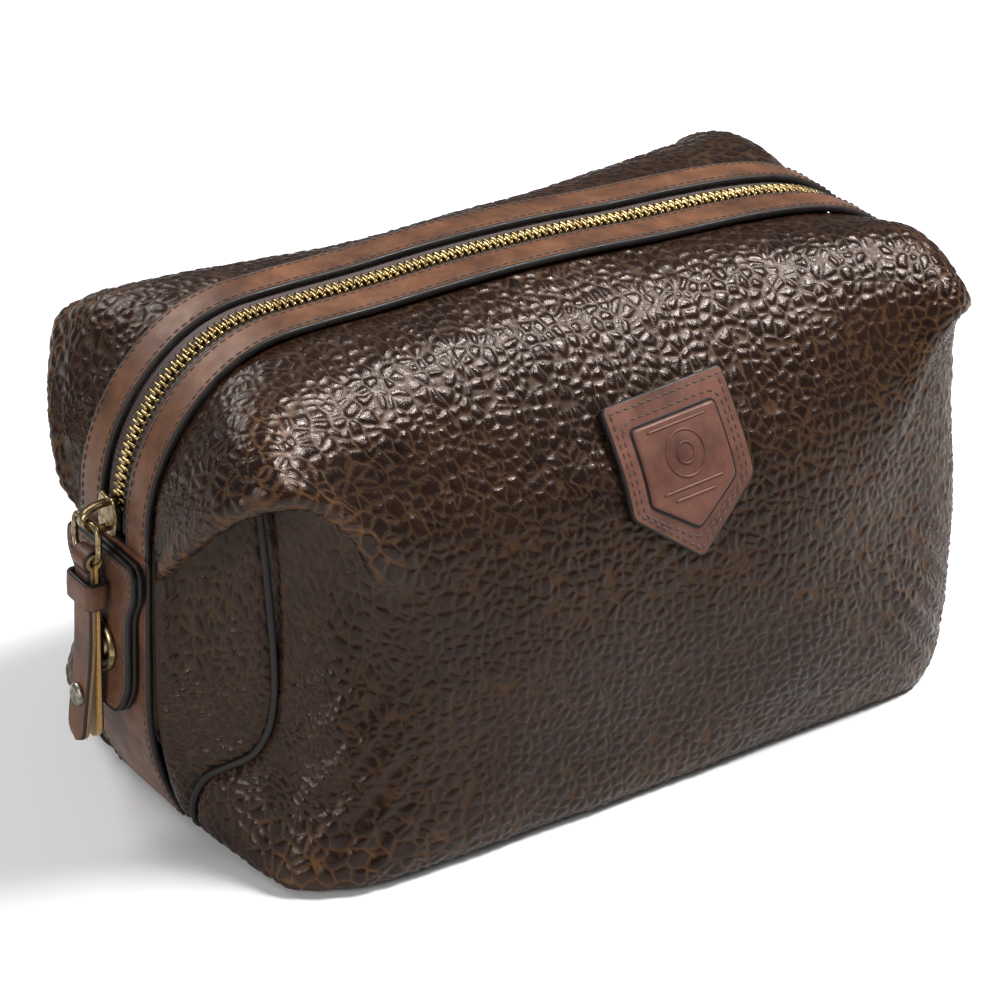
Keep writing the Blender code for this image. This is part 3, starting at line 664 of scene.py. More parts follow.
def pewter():
    look = Look("pewter", metallic=1.0)
    cloud = look.noise(700.0, 3.0)
    colour = look.mix(look.ramp(cloud, 0.35, 0.7), (0.10, 0.095, 0.08), (0.34, 0.32, 0.27))
    roughness = look.ramp(cloud, 0.3, 0.7, 0.45, 0.3)
    return look.finish(colour, roughness, look.bump(look.noise(1500.0), 0.00005, 0.5))


def thread(name, dark, light):
    look = Look(name, roughness=0.7, sheen=0.2)
    twist = look.wave(1500.0, "DIAGONAL")
    return look.finish(look.mix(twist, dark, light), None, look.bump(twist, 0.0001, 0.8))


def suede():
    look = Look("suede", roughness=0.95, sheen=0.4)
    nap = look.noise(1400.0, 5.0, 0.7)
    colour = look.mix(look.ramp(nap, 0.3, 0.7), (0.16, 0.075, 0.012), (0.42, 0.225, 0.045))
    return look.finish(colour, None, look.bump(nap, 0.0004, 0.9))


def floor_look():
    look = Look("floor", roughness=0.75, specular=0.2)
    cloud = look.noise(3.0)
    return look.finish(look.mix(cloud, (0.60, 0.60, 0.60), (0.64, 0.64, 0.64)))


WALL = wall_leather()
STRIP = strip_leather("strip_leather", (0.036, 0.0138, 0.0068), (0.120, 0.050, 0.024))
PATCH = strip_leather("patch_leather", (0.048, 0.018, 0.0125), (0.125, 0.050, 0.035))
EDGE = edge_paint()
TAPE = woven_tape()
LINING = lining_twill()
TEETH = brass("zip_brass", (0.14, 0.095, 0.038), (0.50, 0.37, 0.17))
BRASS = brass("antique_brass", (0.085, 0.060, 0.028), (0.34, 0.26, 0.135))
THREAD = thread("thread", (0.010, 0.006, 0.005), (0.035, 0.018, 0.012))
PATCH_THREAD = thread("patch_thread", (0.020, 0.010, 0.008), (0.075, 0.036, 0.026))
SUEDE = suede()
PEWTER = pewter()


# ---------------------------------------------------------------- walls


def side_name(side):
    return "front" if side < 0 else "back"


def build_wall(side):
    """One long side of the bag with both ends' gussets: grained leather and its lining."""
    label = side_name(side)
    us = evenly(0, LAST, lambda t: wall_grid(t, np.arange(0.5, 8, 1.5)), GRAIN_STEP)
    vs = evenly(0, BASE, lambda t: np.moveaxis(wall_grid(np.arange(3.0, 12, 1.5), t), 1, 0), GRAIN_STEP)
    drawn = wall_grid(us, vs, side)
    plain, normals = drawn * (1, -side, 1), grid_normals(drawn) * (1, -side, 1)
    v = np.broadcast_to(vs, plain.shape[:2])
    ends = from_ends(us, v)
    lip = lip_row(ends)
    height, crease, cell, tight = grain(plain, v, lip)
    for end, _ in ENDS:
        gap = nearest(plain, seam_points(end, side)[0], PIPING_REACH)
        height = height * smooth(gap, 0.4, 3.0) - 1.5 * (1 - smooth(gap, 0.0, 4.5))
    tucked = 1 - smooth(np.minimum(v, ends), 0.0, TUCK_ROWS)
    lift = (height - 0.3) * (1 - tucked) - 0.4 * tucked + sag(plain, v) + overhang(ends, v, lip, plain)
    floor_near = 1 - smooth(plain[..., 2], 0.0, 2.0)
    outer = plain + normals * lift[..., None]
    outer[..., 2] = np.maximum(outer[..., 2], 0.05 * (1 - floor_near))
    columns, rows = plain.shape[:2]
    item = new_object(f"{label}_wall", outer, grid_faces(columns, rows, flip=side > 0), [WALL])
    paint(item, crease=crease * (1 - tucked), cell=cell, tight=tight)
    nodes = [f"{label}_panel", f"{label}_flap"]
    nodes += [f"{label}_{end}_{kind}" for end in ("left", "right") for kind in ("shoulder", "gusset")]
    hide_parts(*nodes)
    weight_root_to_flap(item, side)
    coarse_u, coarse_v = us[::6], vs[::4]
    inner = wall_grid(coarse_u, coarse_v, side)
    inward = grid_normals(inner)
    ends = from_ends(coarse_u, coarse_v)
    hollow = np.minimum(overhang(ends, coarse_v, lip_row(ends), inner), 0)
    inner = (inner - inward * (LEATHER + LINING_GAP - 1.1 * hollow)[..., None]) * (1, -side, 1)
    inner[..., 0] = np.clip(inner[..., 0], -LINING_REACH, LINING_REACH)
    inner[..., 2] = np.maximum(inner[..., 2], 2.6)
    lining = new_object(f"{label}_inside", inner, grid_faces(*inner.shape[:2], flip=side < 0), [LINING])
    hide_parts(f"{label}_lining")
    weight_root_to_flap(lining, side)


def build_welts(side):
    """Piped, black-edged seams between the gussets and the walls."""
    for end, _ in ENDS:
        points, normals = seam_points(end, side)
        item = tube(f"{side_name(side)}_{end}_piping", points - normals * 0.55, 1.2, [EDGE], sides=10,
                    flat=0.75, up=normals)
        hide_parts(f"{side_name(side)}_{end}_welt")
        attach(item, "root")


def frames_along(points, up=None, closed=False):
    """Unit side and up vectors along a line of points."""
    tangent = np.roll(points, -1, 0) - np.roll(points, 1, 0) if closed else np.gradient(points, axis=0)
    tangent /= np.linalg.norm(tangent, axis=1, keepdims=True) + 1e-9
    if up is None:
        up = np.broadcast_to((0.0, 1.0, 0.0), points.shape)
    across = np.cross(tangent, up)
    across /= np.linalg.norm(across, axis=1, keepdims=True) + 1e-9
    return across, np.cross(across, tangent)


def swept(name, points, profile, materials, up=None, closed=False, face_of_side=None):
    """Sweep a closed (across, up) profile along points; ends are capped unless closed."""
    across, above = frames_along(points, up, closed)
    profile = np.asarray(profile, float)
    verts = (points[:, None] + across[:, None] * profile[None, :, :1]
             + above[:, None] * profile[None, :, 1:])
    n, m = verts.shape[:2]
    sides = [0] * m if face_of_side is None else list(face_of_side)
    faces = capped_faces(n, m)
    kinds = sides * (n - 1)
    if closed:
        faces[-2:] = [[(n - 1) * m + j, (n - 1) * m + (j + 1) % m, (j + 1) % m, j] for j in range(m)]
        kinds += sides
    else:
        kinds += [max(sides)] * 2
    item = new_object(name, verts, faces, materials, kinds)
    fix_normals(item)
    return item


def fix_normals(item):
    bm = bmesh.new()
    bm.from_mesh(item.data)
    bmesh.ops.recalc_face_normals(bm, faces=bm.faces)
    bm.to_mesh(item.data)
    bm.free()


def tube(name, points, radius, materials, sides=10, flat=1.0, up=None, closed=False):
    angles = np.linspace(0, 2 * np.pi, sides, endpoint=False)
    profile = np.stack([radius * np.cos(angles), radius * flat * np.sin(angles)], -1)
    return swept(name, points, profile, materials, up=up, closed=closed)


def repaint(node, material):
    """Give a CAD node that stays in view its material."""
    slots = frame["nodes"][node].data.materials
    slots.clear()
    slots.append(material)


def build_base():
    rim = wall_grid(np.linspace(0, LAST, 57), np.array([7.93]))[:, 0]
    rim = np.concatenate([rim, (rim * (1, -1, 1))[::-1]])
    rings = []
    for share in (1.0, 0.93, 0.8, 0.6, 0.4, 0.2, 0.02):
        ring = rim * (share, share, 0)
        ring[:, 2] = 0.25 - 0.2 * (1 - share)
        rings.append(ring)
    verts = np.stack(rings)
    n, m = verts.shape[:2]
    item = new_object("base_leather", verts, grid_faces(n, m, wrap=True), [WALL])
    fix_normals(item)
    edge, cell = pebbles(verts.reshape(-1, 3) / 3.0, PEBBLE_SEED)
    paint(item, crease=np.clip(1 - edge * 7, 0, 1), cell=cell, tight=0.3 + 0 * cell)
    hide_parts("base_panel")
    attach(item, "root")
    for node in ("base_board", "slip_pocket"):
        repaint(node, LINING)


# ---------------------------------------------------------------- ribbon: strips, bands, tape, zip


def rounded_strip(y0, y1, top, bottom, soft=0.55, count=9):
    """Profile of a leather strip across the ribbon as (y, height, is_edge)."""
    ys = np.linspace(y0 + soft * 1.7, y1 - soft * 1.7, count)
    upper = [(y, top) for y in ys]
    right = [(y1 - soft, top - 0.06), (y1 - soft * 0.3, top - soft * 0.4), (y1, top - soft * 1.3),
             (y1, bottom + 0.2)]
    lower = [(y1 - 0.3, bottom), (y0 + 0.3, bottom)]
    left = [(y0, bottom + 0.2), (y0, top - soft * 1.3), (y0 + soft * 0.3, top - soft * 0.4),
            (y0 + soft, top - 0.06)]
    points = np.array(upper + right + lower + left)
    edge_kind = [0] * (count - 1) + [1] * (len(points) - count + 1)
    return points, edge_kind


def ribbon_sweep(name, s_values, profile, kinds, materials, wave=0.0):
    """Sweep a (y, height) profile along the ribbon."""
    s = np.asarray(s_values, float)[:, None]
    verts = ribbon(s, profile[None, :, 0], profile[None, :, 1])
    if wave:
        verts = verts + wave * noise(verts, 17.0, 61)[..., None] * (0, 1, 0)
    n, m = verts.shape[:2]
    item = new_object(name, verts, capped_faces(n, m), materials, kinds * (n - 1) + [max(kinds)] * 2)
    fix_normals(item)
    return item


STITCH_SINK = 0.05
STITCH_SIDES = 6
# A stitch's thickness along its length, as (share of length, share of radius).
STITCH_SHAPE = np.array([(0.0, 0.35), (0.16, 0.85), (0.5, 1.0), (0.84, 0.85), (1.0, 0.35)])


def stitches(name, points, normals, material, length=2.1, pitch=2.9, radius=0.24):
    """Separate raised stitches along a line of points, as one mesh."""
    run = distance_along(points)
    angles = np.linspace(0, 2 * np.pi, STITCH_SIDES, endpoint=False)
    share, thickness = STITCH_SHAPE.T
    one = capped_faces(len(share), STITCH_SIDES)
    verts, faces = [], []
    for start in np.arange(0.4, run[-1] - length, pitch):
        t = start + share * length
        middle, up = (np.stack([np.interp(t, run, line[:, k]) for k in range(3)], -1)
                      for line in (points, normals))
        arch = np.sin(np.pi * share) * radius * 0.8 - STITCH_SINK
        middle = middle + up * arch[:, None]
        across, above = frames_along(middle, up)
        size = (radius * thickness)[:, None, None]
        ring = (middle[:, None] + across[:, None] * (np.cos(angles)[None, :, None] * size)
                + above[:, None] * (np.sin(angles)[None, :, None] * size))
        first = len(verts) * len(share) * STITCH_SIDES
        verts.append(ring.reshape(-1, 3))
        faces += [[first + index for index in face] for face in one]
    item = new_object(name, np.concatenate(verts), faces, [material])
    fix_normals(item)
    return item


def ribbon_line(s_values, y, height):
    points = ribbon(s_values, y, height)
    normal = spine(s_values)[1]
    return points, np.stack([normal[:, 0], 0 * normal[:, 0], normal[:, 1]], -1)


PARTS = ("left", "top", "right")
TAPE_INNER, TAPE_OUTER, TAPE_TOP, TAPE_BOTTOM = 0.9, 13.0, -2.6, -3.3


def build_strips(side):
    """One side's strip with its two rows of stitches, its zip tape and its teeth."""
    label = side_name(side)
    s_values = np.arange(-7.0, ZIP_LENGTH + 7.0, 2.0)
    low, high = sorted((side * STRIP_INNER, side * RIBBON_HALF))
    profile, kinds = rounded_strip(low, high, 0.0, -LEATHER)
    across = (profile[:, 0] - (low + high) / 2) / (high - low)
    profile[:, 1] += 0.35 * np.cos(across * np.pi) * (profile[:, 1] > -1)
    strip = ribbon_sweep(f"{label}_strip", s_values, profile, kinds, [STRIP, EDGE], wave=0.25)
    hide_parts(*(f"{label}_{part}_strip" for part in PARTS))
    weight_root_to_flap(strip, side)
    for row, y in (("inner", STRIP_INNER + 1.9), ("outer", RIBBON_HALF - 1.9)):
        points, normals = ribbon_line(np.arange(-6.0, ZIP_LENGTH + 6.0, 1.0), side * y, 0.22)
        sewn = stitches(f"{label}_strip_stitch_{row}", points, normals, THREAD)
        weight_root_to_flap(sewn, side)
    low, high = sorted((side * TAPE_INNER, side * TAPE_OUTER))
    profile, kinds = rounded_strip(low, high, TAPE_TOP, TAPE_BOTTOM, soft=0.2, count=7)
    tape = ribbon_sweep(f"{label}_tape", s_values, profile, [0] * len(kinds), [TAPE])
    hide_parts(*(f"{label}_{part}_tape" for part in PARTS))
    weight_root_to_flap(tape, side)
    build_teeth(side)


TOOTH_PITCH = 2.5
# One zip tooth as rings along y: (y, half length along the zip, low, high).
TOOTH = np.array([(3.15, 0.45, -3.1, -1.4), (2.9, 0.6, -3.2, -1.1), (1.8, 0.55, -3.3, -0.95),
                  (1.0, 0.45, -3.3, -0.9), (0.1, 0.5, -3.3, -0.85), (-0.7, 0.66, -3.3, -0.9),
                  (-1.05, 0.5, -3.1, -1.15)])
# Each ring's corners, as shares of its half length and of its height.
TOOTH_CORNERS = np.array([(-1, 0.25), (-1, 0.75), (-0.55, 1), (0.55, 1), (1, 0.75), (1, 0.25),
                          (0.55, 0), (-0.55, 0)])


def build_teeth(side):
    label = side_name(side)
    offset = 0.0 if side < 0 else TOOTH_PITCH / 2
    centres = np.arange(2.0 + offset, ZIP_LENGTH - 2.0, TOOTH_PITCH)
    y, half, low, high = TOOTH.T[:, None, :, None]
    along, up = TOOTH_CORNERS.T
    s = centres[:, None, None] + along * half
    verts = ribbon(s, side * y + 0 * s, low + (high - low) * up + 0 * s)
    per = len(TOOTH) * len(TOOTH_CORNERS)
    one = capped_faces(len(TOOTH), len(TOOTH_CORNERS))
    faces = [[index + per * k for index in face] for k in range(len(centres)) for face in one]
    item = new_object(f"{label}_teeth", verts, faces, [TEETH], smooth_faces=False)
    fix_normals(item)
    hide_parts(*(f"{label}_{part}_teeth" for part in PARTS))
    weight_root_to_flap(item, side)


def build_bands():
    """The leather band that carries on from the strips below the zip, at each end."""
    for end, _ in ENDS:
        foot = ZIP_FOOT if end == "left" else RIGHT_FOOT
        run = foot - BAND_KNEE + BAND_RADIUS * math.radians(BAND_SWEEP)
        s_values = np.arange(7.4, run, 2.0)
        s_values = -s_values if end == "left" else ZIP_LENGTH + s_values
        profile, kinds = rounded_strip(-RIBBON_HALF, RIBBON_HALF, 0.0, -LEATHER, count=15)
        band = ribbon_sweep(f"{end}_end_band", s_values, profile, kinds, [STRIP, EDGE], wave=0.25)
        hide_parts(f"{end}_band")
        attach(band, "root")
        for side in (-1, 1):
            points, normals = ribbon_line(s_values, side * (RIBBON_HALF - 2.2), 0.02)
            sewn = stitches(f"{end}_band_stitch_{side_name(side)}", points, normals, THREAD)
            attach(sewn, "root")


# ---------------------------------------------------------------- end tabs, snaps, patch


def on_foot(y, t, height):
    """Point beside the left zip's foot: y across, t upwards, height outwards from the ribbon."""
    return np.array([-(HALF_LENGTH + height), y, ZIP_FOOT + t])


def rounded_outline(corners, radii, steps=7):
    """Closed 2-D outline through corners, each rounded by its own radius."""
    corners = np.asarray(corners, float)
    points = []
    for i, corner in enumerate(corners):
        before = corners[i - 1] - corner
        after = corners[(i + 1) % len(corners)] - corner
        before, after = before / np.linalg.norm(before), after / np.linalg.norm(after)
        reach = radii[i]
        for t in np.linspace(0, 1, steps):
            start, end = corner + before * reach, corner + after * reach
            points.append((1 - t) ** 2 * start + 2 * t * (1 - t) * corner + t**2 * end)
    return np.array(points)


def resampled(outline, spacing):
    """The closed outline as evenly spaced points."""
    loop = np.concatenate([outline, outline[:1]])
    run = distance_along(loop)
    spots = np.linspace(0, run[-1], int(run[-1] / spacing) + 1)[:-1]
    return np.stack([np.interp(spots, run, loop[:, k]) for k in range(2)], -1)


def inset(outline, amount):
    """Move a closed 2-D outline inwards; it runs anticlockwise or clockwise."""
    tangent = np.roll(outline, -1, 0) - np.roll(outline, 1, 0)
    tangent /= np.linalg.norm(tangent, axis=1, keepdims=True) + 1e-9
    normal = np.stack([-tangent[:, 1], tangent[:, 0]], -1)
    x, y = outline[:, 0], outline[:, 1]
    turning = np.sum(x * np.roll(y, -1) - np.roll(x, -1) * y)
    return outline + normal * amount * (1 if turning > 0 else -1)


def slab(name, outline, place, low, high, materials, soft=0.5, edge=0.9, dish=0.0, rings=6):
    """Leather slab: a side wall, a rounded painted rim and a face, laid by place(a, b, height)."""
    middle = outline.mean(0)
    layers = [(outline, low), (outline, high - soft), (inset(outline, soft * 0.3), high - soft * 0.3),
              (inset(outline, soft), high), (inset(outline, edge), high)]
    face = inset(outline, edge + 0.05)
    for share in np.linspace(1.0, 0.0, rings + 1)[:-1]:
        layers.append((middle + (face - middle) * share, high - dish * (1 - share)))
    verts = [[place(a, b, level) for a, b in ring] for ring, level in layers]
    n, m = len(layers), len(outline)
    faces = [list(quad) for quad in grid_faces(n, m, wrap=True)]
    kinds = list(np.repeat([1, 1, 1, 1] + [0] * (n - 5), m))
    verts = np.concatenate([np.array(verts).reshape(-1, 3), [place(*middle, high - dish)]])
    faces += [[(n - 1) * m + k, (n - 1) * m + (k + 1) % m, n * m] for k in range(m)]
    faces += [list(range(m))[::-1]]
    item = new_object(name, verts, faces, materials, kinds + [0] * m + [1])
    fix_normals(item)
    return item


def laid_line(outline, place, level, closed=True):
    """Points and outward normals of a 2-D line laid by place."""
    if closed:
        outline = np.concatenate([outline, outline[:2]])
    points = np.array([place(a, b, level) for a, b in outline])
    raised = np.array([place(a, b, level + 1.0) for a, b in outline])
    return points, raised - points


def build_tabs():
    """At each end two leather layers, sewn together, with a ring snap."""
    half = [((19, 89), 4), ((19, 79), 3), ((14.5, 71), 3.5), ((14.5, 45), 4), ((10, 37.5), 4)]
    corners = [(-19, 89)] + [spot for spot, _ in half] + [(-y, z) for (y, z), _ in half[:0:-1]]
    radii = [4] + [radius for _, radius in half] + [radius for _, radius in half[:0:-1]]
    outline = resampled(rounded_outline(corners, radii), 1.0)
    for end, side in ENDS:
        def place(y, z, level, side=side):
            curl = 0.9 * (1 - smooth(z, 38, 52)) + 0.8 * (abs(y) / 19) ** 3 * smooth(z, 70, 84)
            return np.array([side * (HALF_LENGTH + level + curl), y, z])
        under = slab(f"{end}_tab_under", outline, place, 0.3, 2.0, [STRIP, EDGE], edge=0.7)
        top = slab(f"{end}_tab_top", inset(outline, 0.15), place, 2.15, 4.0, [STRIP, EDGE], edge=1.2)
        points, normals = laid_line(inset(outline, 2.6), place, 4.0)
        sewn = stitches(f"{end}_tab_stitch", points, normals, THREAD, radius=0.25)
        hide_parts(f"{end}_tab_inner")
        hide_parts(f"{end}_tab_outer")
        for item in (under, top, sewn):
            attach(item, "root")
        build_snap(f"{end}_snap", side)


def lathe(name, profile, centre, axis_side, materials, segments=40):
    """Turn a (radius, height) profile about the x axis through centre, outwards to axis_side."""
    angles = np.linspace(0, 2 * np.pi, segments, endpoint=False)
    verts = [(centre[0] + axis_side * h, centre[1] + r * math.cos(a), centre[2] + r * math.sin(a))
             for r, h in profile for a in angles]
    item = new_object(name, verts, capped_faces(len(profile), segments), materials)
    fix_normals(item)
    return item


def build_snap(name, side):
    """Ring snap on the end tab: a domed collar round a low post."""
    centre = (side * (HALF_LENGTH + 4.0), 0.0, (low_mm("left_rivet")[2] + high_mm("left_rivet")[2]) / 2)
    profile = [(8.4, 0.0), (8.5, 0.7), (8.1, 1.5), (7.4, 1.9), (6.7, 1.7), (6.2, 1.0), (5.6, 0.6),
               (4.2, 0.55), (4.0, 1.2), (3.6, 1.7), (2.6, 1.9), (0.3, 1.95)]
    item = lathe(name, profile, centre, side, [BRASS])
    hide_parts(name.replace("_snap", "_rivet"))
    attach(item, "root")


PATCH_U = MIDDLE + 10.0 / STATION_STEP
PATCH_HALF = 22.0
PATCH_TURN = math.radians(4.5)
PATCH_TURN_AT = 24
PATCH_TOP_ROW = CREST + 0.53
PATCH_LIFT = 0.35


def patch_rows():
    """Distances down the wall from the patch's top edge, and the wall's row at each."""
    rows = np.linspace(PATCH_TOP_ROW - 0.3, PATCH_TOP_ROW + 2.2, 90)
    run = distance_along(wall_grid(np.array([PATCH_U]), rows)[0])
    return run - np.interp(PATCH_TOP_ROW, rows, run), rows


PATCH_RUN, PATCH_ROWS = patch_rows()
PATCH_SPOTS = {}


def patch_place(a, b, height):
    """Point over the front wall: a mm across from the patch's middle, b mm down from its top."""
    key = (round(float(a), 3), round(float(b), 3))
    if key not in PATCH_SPOTS:
        below = b - PATCH_TURN_AT
        across = a * math.cos(PATCH_TURN) + below * math.sin(PATCH_TURN)
        down = PATCH_TURN_AT + below * math.cos(PATCH_TURN) - a * math.sin(PATCH_TURN)
        row = float(np.interp(down, PATCH_RUN, PATCH_ROWS))
        spot, normal = wall_spots([PATCH_U + across / STATION_STEP], [row])
        PATCH_SPOTS[key] = spot[0], normal[0]
    spot, normal = PATCH_SPOTS[key]
    return spot + normal * (height + PATCH_LIFT)


def shield(half, top, knee, tip, corner):
    corners = [(-half, top), (half, top), (half, knee), (0, tip), (-half, knee)]
    return resampled(rounded_outline(corners, [corner] * 5), 0.9)


def build_patch():
    """Shield patch: a sewn base, a raised inner shield, and a plain ring-and-bars emboss."""
    outer = shield(PATCH_HALF, 0.0, 33.0, 52.0, 2.2)
    inner = shield(14.9, 8.8, 31.0, 42.0, 1.2)
    base = slab("patch_lower", outer, patch_place, -0.2, 2.0, [PATCH, EDGE], soft=0.6, edge=0.65)
    groove = slab("patch_groove", inset(inner, -0.9), patch_place, 1.5, 2.06, [EDGE, EDGE], soft=0.1,
                  edge=0.3)
    raised = slab("patch_upper", inner, patch_place, 1.5, 3.0, [PATCH, PATCH], soft=0.7, edge=1.0)
    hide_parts("patch_base")
    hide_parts("patch_inner")
    items = [base, groove, raised]
    for name, line, level in (("outer", inset(outer, 2.4), 2.0), ("inner", inset(inner, -3.0), 2.0)):
        points, normals = laid_line(line, patch_place, level)
        items.append(stitches(f"patch_stitch_{name}", points, normals, PATCH_THREAD, pitch=2.8, length=2.0,
                              radius=0.27))
    angles = np.linspace(0, 2 * np.pi, 49)[:-1]
    for name, radius in (("ring", 6.6), ("ring_small", 3.0)):
        circle = np.stack([radius * np.cos(angles), 20.0 + radius * np.sin(angles)], -1)
        points, normals = laid_line(circle, patch_place, 3.0, closed=False)
        items.append(tube(f"patch_{name}", points, 0.38, [PATCH], sides=8, up=normals, closed=True))
    for k, (y, half) in enumerate(((11.2, 10.5), (29.2, 10.5), (32.0, 7.0))):
        bar = np.stack([np.linspace(-half, half, 24), np.full(24, y)], -1)
        points, normals = laid_line(bar, patch_place, 3.0, closed=False)
        items.append(tube(f"patch_bar_{k}", points, 0.38, [PATCH], sides=8, up=normals))
    for item in items:
        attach(item, "root")


# ---------------------------------------------------------------- slider, link and pull

PIVOT_HEIGHT = -LINK_PIVOT[0] - HALF_LENGTH
LINK_DROP = LINK_PIVOT[2] - PULL_PIVOT[2]
PULL_LENGTH = PULL_PIVOT[2] - low_mm("leather_pull")[2]
WIRE = 0.95


def build_slider():
    """Two plates joined by a wedge, with a bridge over the top plate for the link."""
    corners = [(-4.4, -6), (4.4, -6), (5.4, 1.5), (3.6, 6.4), (0, 5.4), (-3.6, 6.4), (-5.4, 1.5)]
    plates = resampled(rounded_outline(corners, [1.6, 1.6, 2.0, 1.4, 1.2, 1.4, 2.0]), 0.6)
    top = slab("slider_top", plates, on_foot, 1.0, 2.3, [BRASS, BRASS], soft=0.5, edge=0.8)
    bottom = slab("slider_bottom", plates, on_foot, -5.2, -4.0, [BRASS, BRASS], soft=0.4, edge=0.6)
    wedge = resampled(rounded_outline([(-1.2, 2.5), (1.2, 2.5), (0.4, 6.0), (-0.4, 6.0)], [0.3] * 4), 0.4)
    post = slab("slider_post", wedge, on_foot, -4.1, 1.1, [BRASS, BRASS], soft=0.1, edge=0.2)
    angles = np.linspace(0, np.pi, 25)
    rise = PIVOT_HEIGHT + WIRE + 0.9 - 1.9
    arch = np.array([on_foot(0, 4.0 * math.cos(a), 1.9 + rise * math.sin(a) ** 0.8) for a in angles])
    profile = [(-0.55, -1.5), (0.45, -1.6), (0.75, -1.0), (0.75, 1.0), (0.45, 1.6), (-0.55, 1.5)]
    bail = swept("slider_bail", arch, profile, [BRASS])
    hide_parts("slider_body")
    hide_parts("slider_bridge")
    for item in (top, bottom, post, bail):
        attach(item, "slider")


def build_link():
    """Heavy oval wire ring through the bail."""
    half, corner = 6.9, 5.2
    outline = rounded_outline([(-half, 0.0), (half, 0.0), (half, -LINK_DROP), (-half, -LINK_DROP)],
                              [3.4, 3.4, corner, corner], steps=9)
    outline = resampled(outline, 0.8)
    points = np.array([on_foot(y, t, PIVOT_HEIGHT) for y, t in outline])
    up = np.broadcast_to((1.0, 0.0, 0.0), points.shape)
    ring = tube("link_ring", points, WIRE, [BRASS], sides=12, up=up, closed=True)
    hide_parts("pull_link")
    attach(ring, "link")


STRAP_HALF = 5.0
STRAP_POINTS = 40
# The strap's section: (share of its half width, height over its middle line, shave of width).
STRAP_SECTION = [(-1, -0.85, 0), (-1, 0.15, 0), (-1, 0.6, -0.05), (-1, 0.85, -0.45), (-1, 0.9, -0.9),
                 (-0.5, 0.98, 0), (0, 1.0, 0), (0.5, 0.98, 0), (1, 0.9, -0.9), (1, 0.85, -0.45),
                 (1, 0.6, -0.05), (1, 0.15, 0), (1, -0.85, 0), (0.5, -0.85, 0), (-0.5, -0.85, 0)]
# Material of each of the section's sides: 0 leather, 1 painted edge, 2 suede.
STRAP_KINDS = [2, 1, 1, 1, 0, 0, 0, 0, 1, 1, 1, 2, 2, 2, 2]


def strap_path():
    """Middle line (t, height) of the pull from its outer end, over the link, to its inner end."""
    eye, half = 1.5 + 0.9, 1.05
    low = -LINK_DROP - PULL_LENGTH + 0.5
    start = math.asin(half / eye)
    ts = np.linspace(low, -LINK_DROP - eye * math.cos(start) - 0.4, STRAP_POINTS)
    flare = 2.6 * smooth(-ts, LINK_DROP + 20, LINK_DROP + PULL_LENGTH) ** 1.3
    outer = np.stack([ts, PIVOT_HEIGHT + half + flare], -1)
    angles = np.linspace(np.pi - start, -np.pi + start, 19)
    loop = np.stack([-LINK_DROP + eye * np.cos(angles), PIVOT_HEIGHT + eye * np.sin(angles)], -1)
    inner = np.stack([ts[::-1], PIVOT_HEIGHT - half - 0.15 * flare[::-1]], -1)
    return np.concatenate([outer, loop, inner])


def build_pull():
    path = strap_path()
    run = distance_along(path)
    tangent = np.gradient(path, axis=0)
    tangent /= np.linalg.norm(tangent, axis=1, keepdims=True)
    outward = np.stack([-tangent[:, 1], tangent[:, 0]], -1)
    ends = np.minimum(run, run[-1] - run)
    width = STRAP_HALF * np.sqrt(np.clip(1 - (1 - np.clip(ends / 5.0, 0.004, 1)) ** 2, 0.02, 1))
    width = width - 0.9 * smooth(ends, 42, 56)
    verts = np.zeros((len(path), len(STRAP_SECTION), 3))
    for j, (across, level, shave) in enumerate(STRAP_SECTION):
        y = across * np.maximum(width + shave, 0.05) if abs(across) == 1 else across * width
        spot = path + outward * level * (-1 if outward[0, 1] < 0 else 1)
        verts[:, j] = np.stack([-(HALF_LENGTH + spot[:, 1]), y, ZIP_FOOT + spot[:, 0]], -1)
    n, m = verts.shape[:2]
    strap = new_object("pull_strap", verts, capped_faces(n, m), [STRIP, EDGE, SUEDE],
                       STRAP_KINDS * (n - 1) + [1, 1])
    fix_normals(strap)
    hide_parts("leather_pull")
    cap_t = -LINK_DROP - PULL_LENGTH * 0.74
    flare = np.interp(cap_t, *path[:STRAP_POINTS].T)
    profile = [(3.5, 0.0), (3.6, 0.4), (3.3, 1.0), (2.5, 1.5), (1.3, 1.75), (0.2, 1.8)]
    centre = (-(HALF_LENGTH + flare + 0.9), 0.0, ZIP_FOOT + cap_t)
    cap = lathe("pull_snap", profile, centre, -1, [PEWTER])
    loop = rounded_outline([(-6.2, -2.7), (6.2, -2.7), (6.2, 2.9), (-6.2, 2.9)], [1.4] * 4, steps=6)
    loop = resampled(loop, 0.7)
    middle_t = -LINK_DROP - 10.0
    route = np.array([on_foot(y, middle_t, PIVOT_HEIGHT + h) for y, h in loop])
    outline = [(-0.75, -4.0), (0.5, -4.2), (0.8, -3.7), (0.9, 0.0), (0.8, 3.7), (0.5, 4.2), (-0.75, 4.0)]
    keeper = swept("pull_loop", route, outline, [STRIP, EDGE], closed=True,
                   up=np.broadcast_to((0.0, 0.0, 1.0), route.shape), face_of_side=[1, 1, 0, 0, 1, 1, 1])
    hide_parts("pull_keeper")
    for item, slot in ((strap, "strip_leather"), (cap, "brass"), (keeper, "strip_leather")):
        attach(item, "pull")


# ---------------------------------------------------------------- floor, light and camera


WORLD_LIGHT = 0.22
# Name, place, size and power of each softbox, in metres and watts; all face the bag's middle.
SOFTBOXES = (("overhead", (0.56, -0.32, 1.18), (0.40, 0.30), 36.0),
             ("left", (-1.15, -0.45, 0.60), (0.5, 0.5), 11.0),
             ("back", (-0.30, 0.80, 0.90), (0.8, 0.35), 11.0))


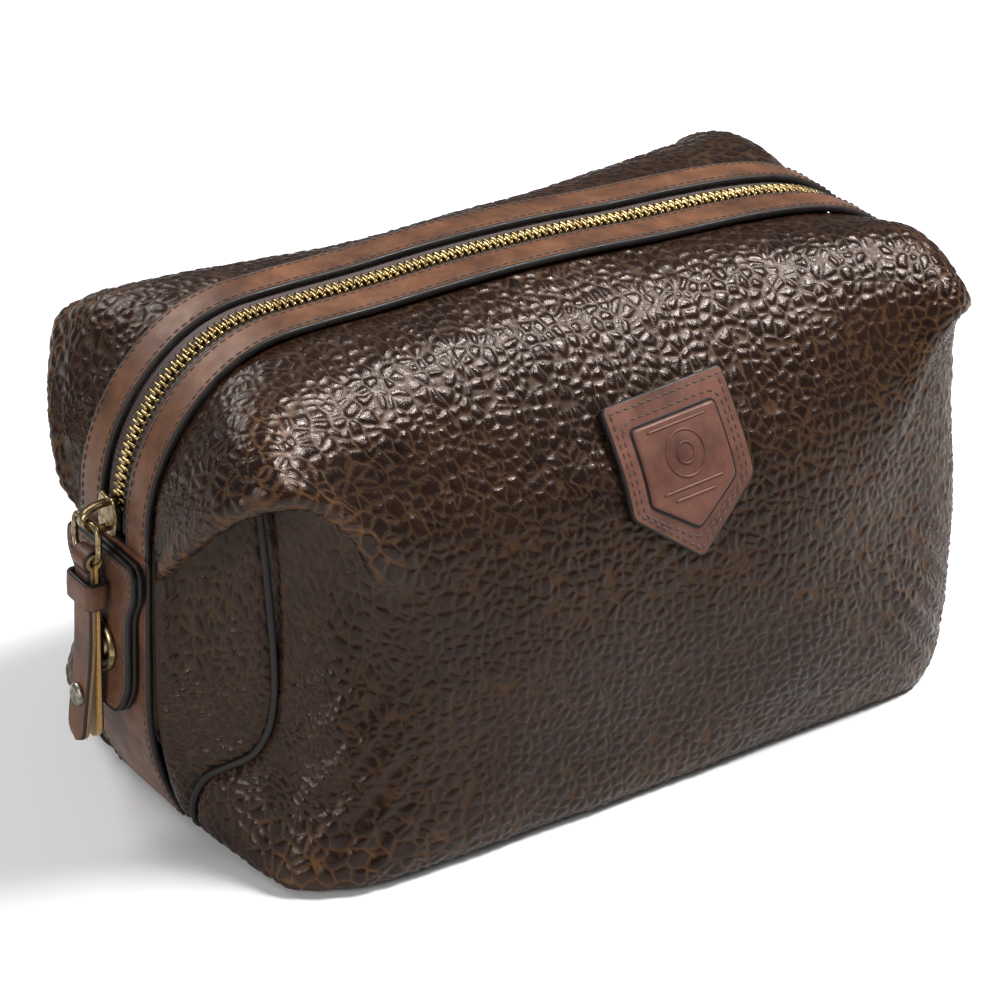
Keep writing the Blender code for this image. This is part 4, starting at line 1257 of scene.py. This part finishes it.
def build_stage():
    bpy.ops.mesh.primitive_plane_add(size=8.0, location=(0, 0, -0.0002))
    floor = bpy.context.object
    floor.name = "floor"
    floor.data.materials.append(floor_look())
    world = bpy.data.worlds.new("studio")
    bpy.context.scene.world = world
    bpy.context.scene.view_settings.view_transform = "Standard"
    world.use_nodes = True
    background = world.node_tree.nodes["Background"]
    background.inputs["Color"].default_value = (1, 1, 1, 1)
    background.inputs["Strength"].default_value = WORLD_LIGHT
    for name, place, size, power in SOFTBOXES:
        data = bpy.data.lights.new(name, "AREA")
        data.shape = "RECTANGLE"
        data.size, data.size_y = size
        data.energy = power
        lamp = bpy.data.objects.new(name, data)
        bpy.context.collection.objects.link(lamp)
        lamp.location = place
        aim(lamp, (0, 0, 0.08))


def aim(item, target):
    item.rotation_mode = "QUATERNION"
    item.rotation_quaternion = (Vector(target) - item.location).to_track_quat("-Z", "Y")


CAMERA_AZIMUTH, CAMERA_ELEVATION, CAMERA_ROLL = -34.9, 28.38, 2.09
CAMERA_DISTANCE, CAMERA_ACROSS, CAMERA_UP = 1.3807, -0.0031, 0.0560
CAMERA_LENS = 160.9


def build_camera():
    a, e, r = (math.radians(v) for v in (CAMERA_AZIMUTH, CAMERA_ELEVATION, CAMERA_ROLL))
    back = Vector((math.sin(a) * math.cos(e), -math.cos(a) * math.cos(e), math.sin(e)))
    right = Vector((0, 0, 1)).cross(back).normalized()
    up = back.cross(right)
    turned = right * math.cos(r) + up * math.sin(r)
    upright = -right * math.sin(r) + up * math.cos(r)
    data = bpy.data.cameras.new("camera")
    data.lens = CAMERA_LENS
    data.sensor_width = 36.0
    data.clip_start, data.clip_end = 0.05, 20.0
    camera = bpy.data.objects.new("camera", data)
    bpy.context.collection.objects.link(camera)
    place = turned * CAMERA_ACROSS + upright * CAMERA_UP + back * CAMERA_DISTANCE
    basis = Matrix((turned, upright, back)).transposed().to_4x4()
    camera.matrix_world = Matrix.Translation(place) @ basis
    bpy.context.scene.camera = camera


def main():
    for side in (-1, 1):
        build_wall(side)
        build_welts(side)
        build_strips(side)
    build_base()
    build_bands()
    build_tabs()
    build_patch()
    build_slider()
    build_link()
    build_pull()
    repaint("end_stop", BRASS)
    build_stage()
    build_camera()


main()
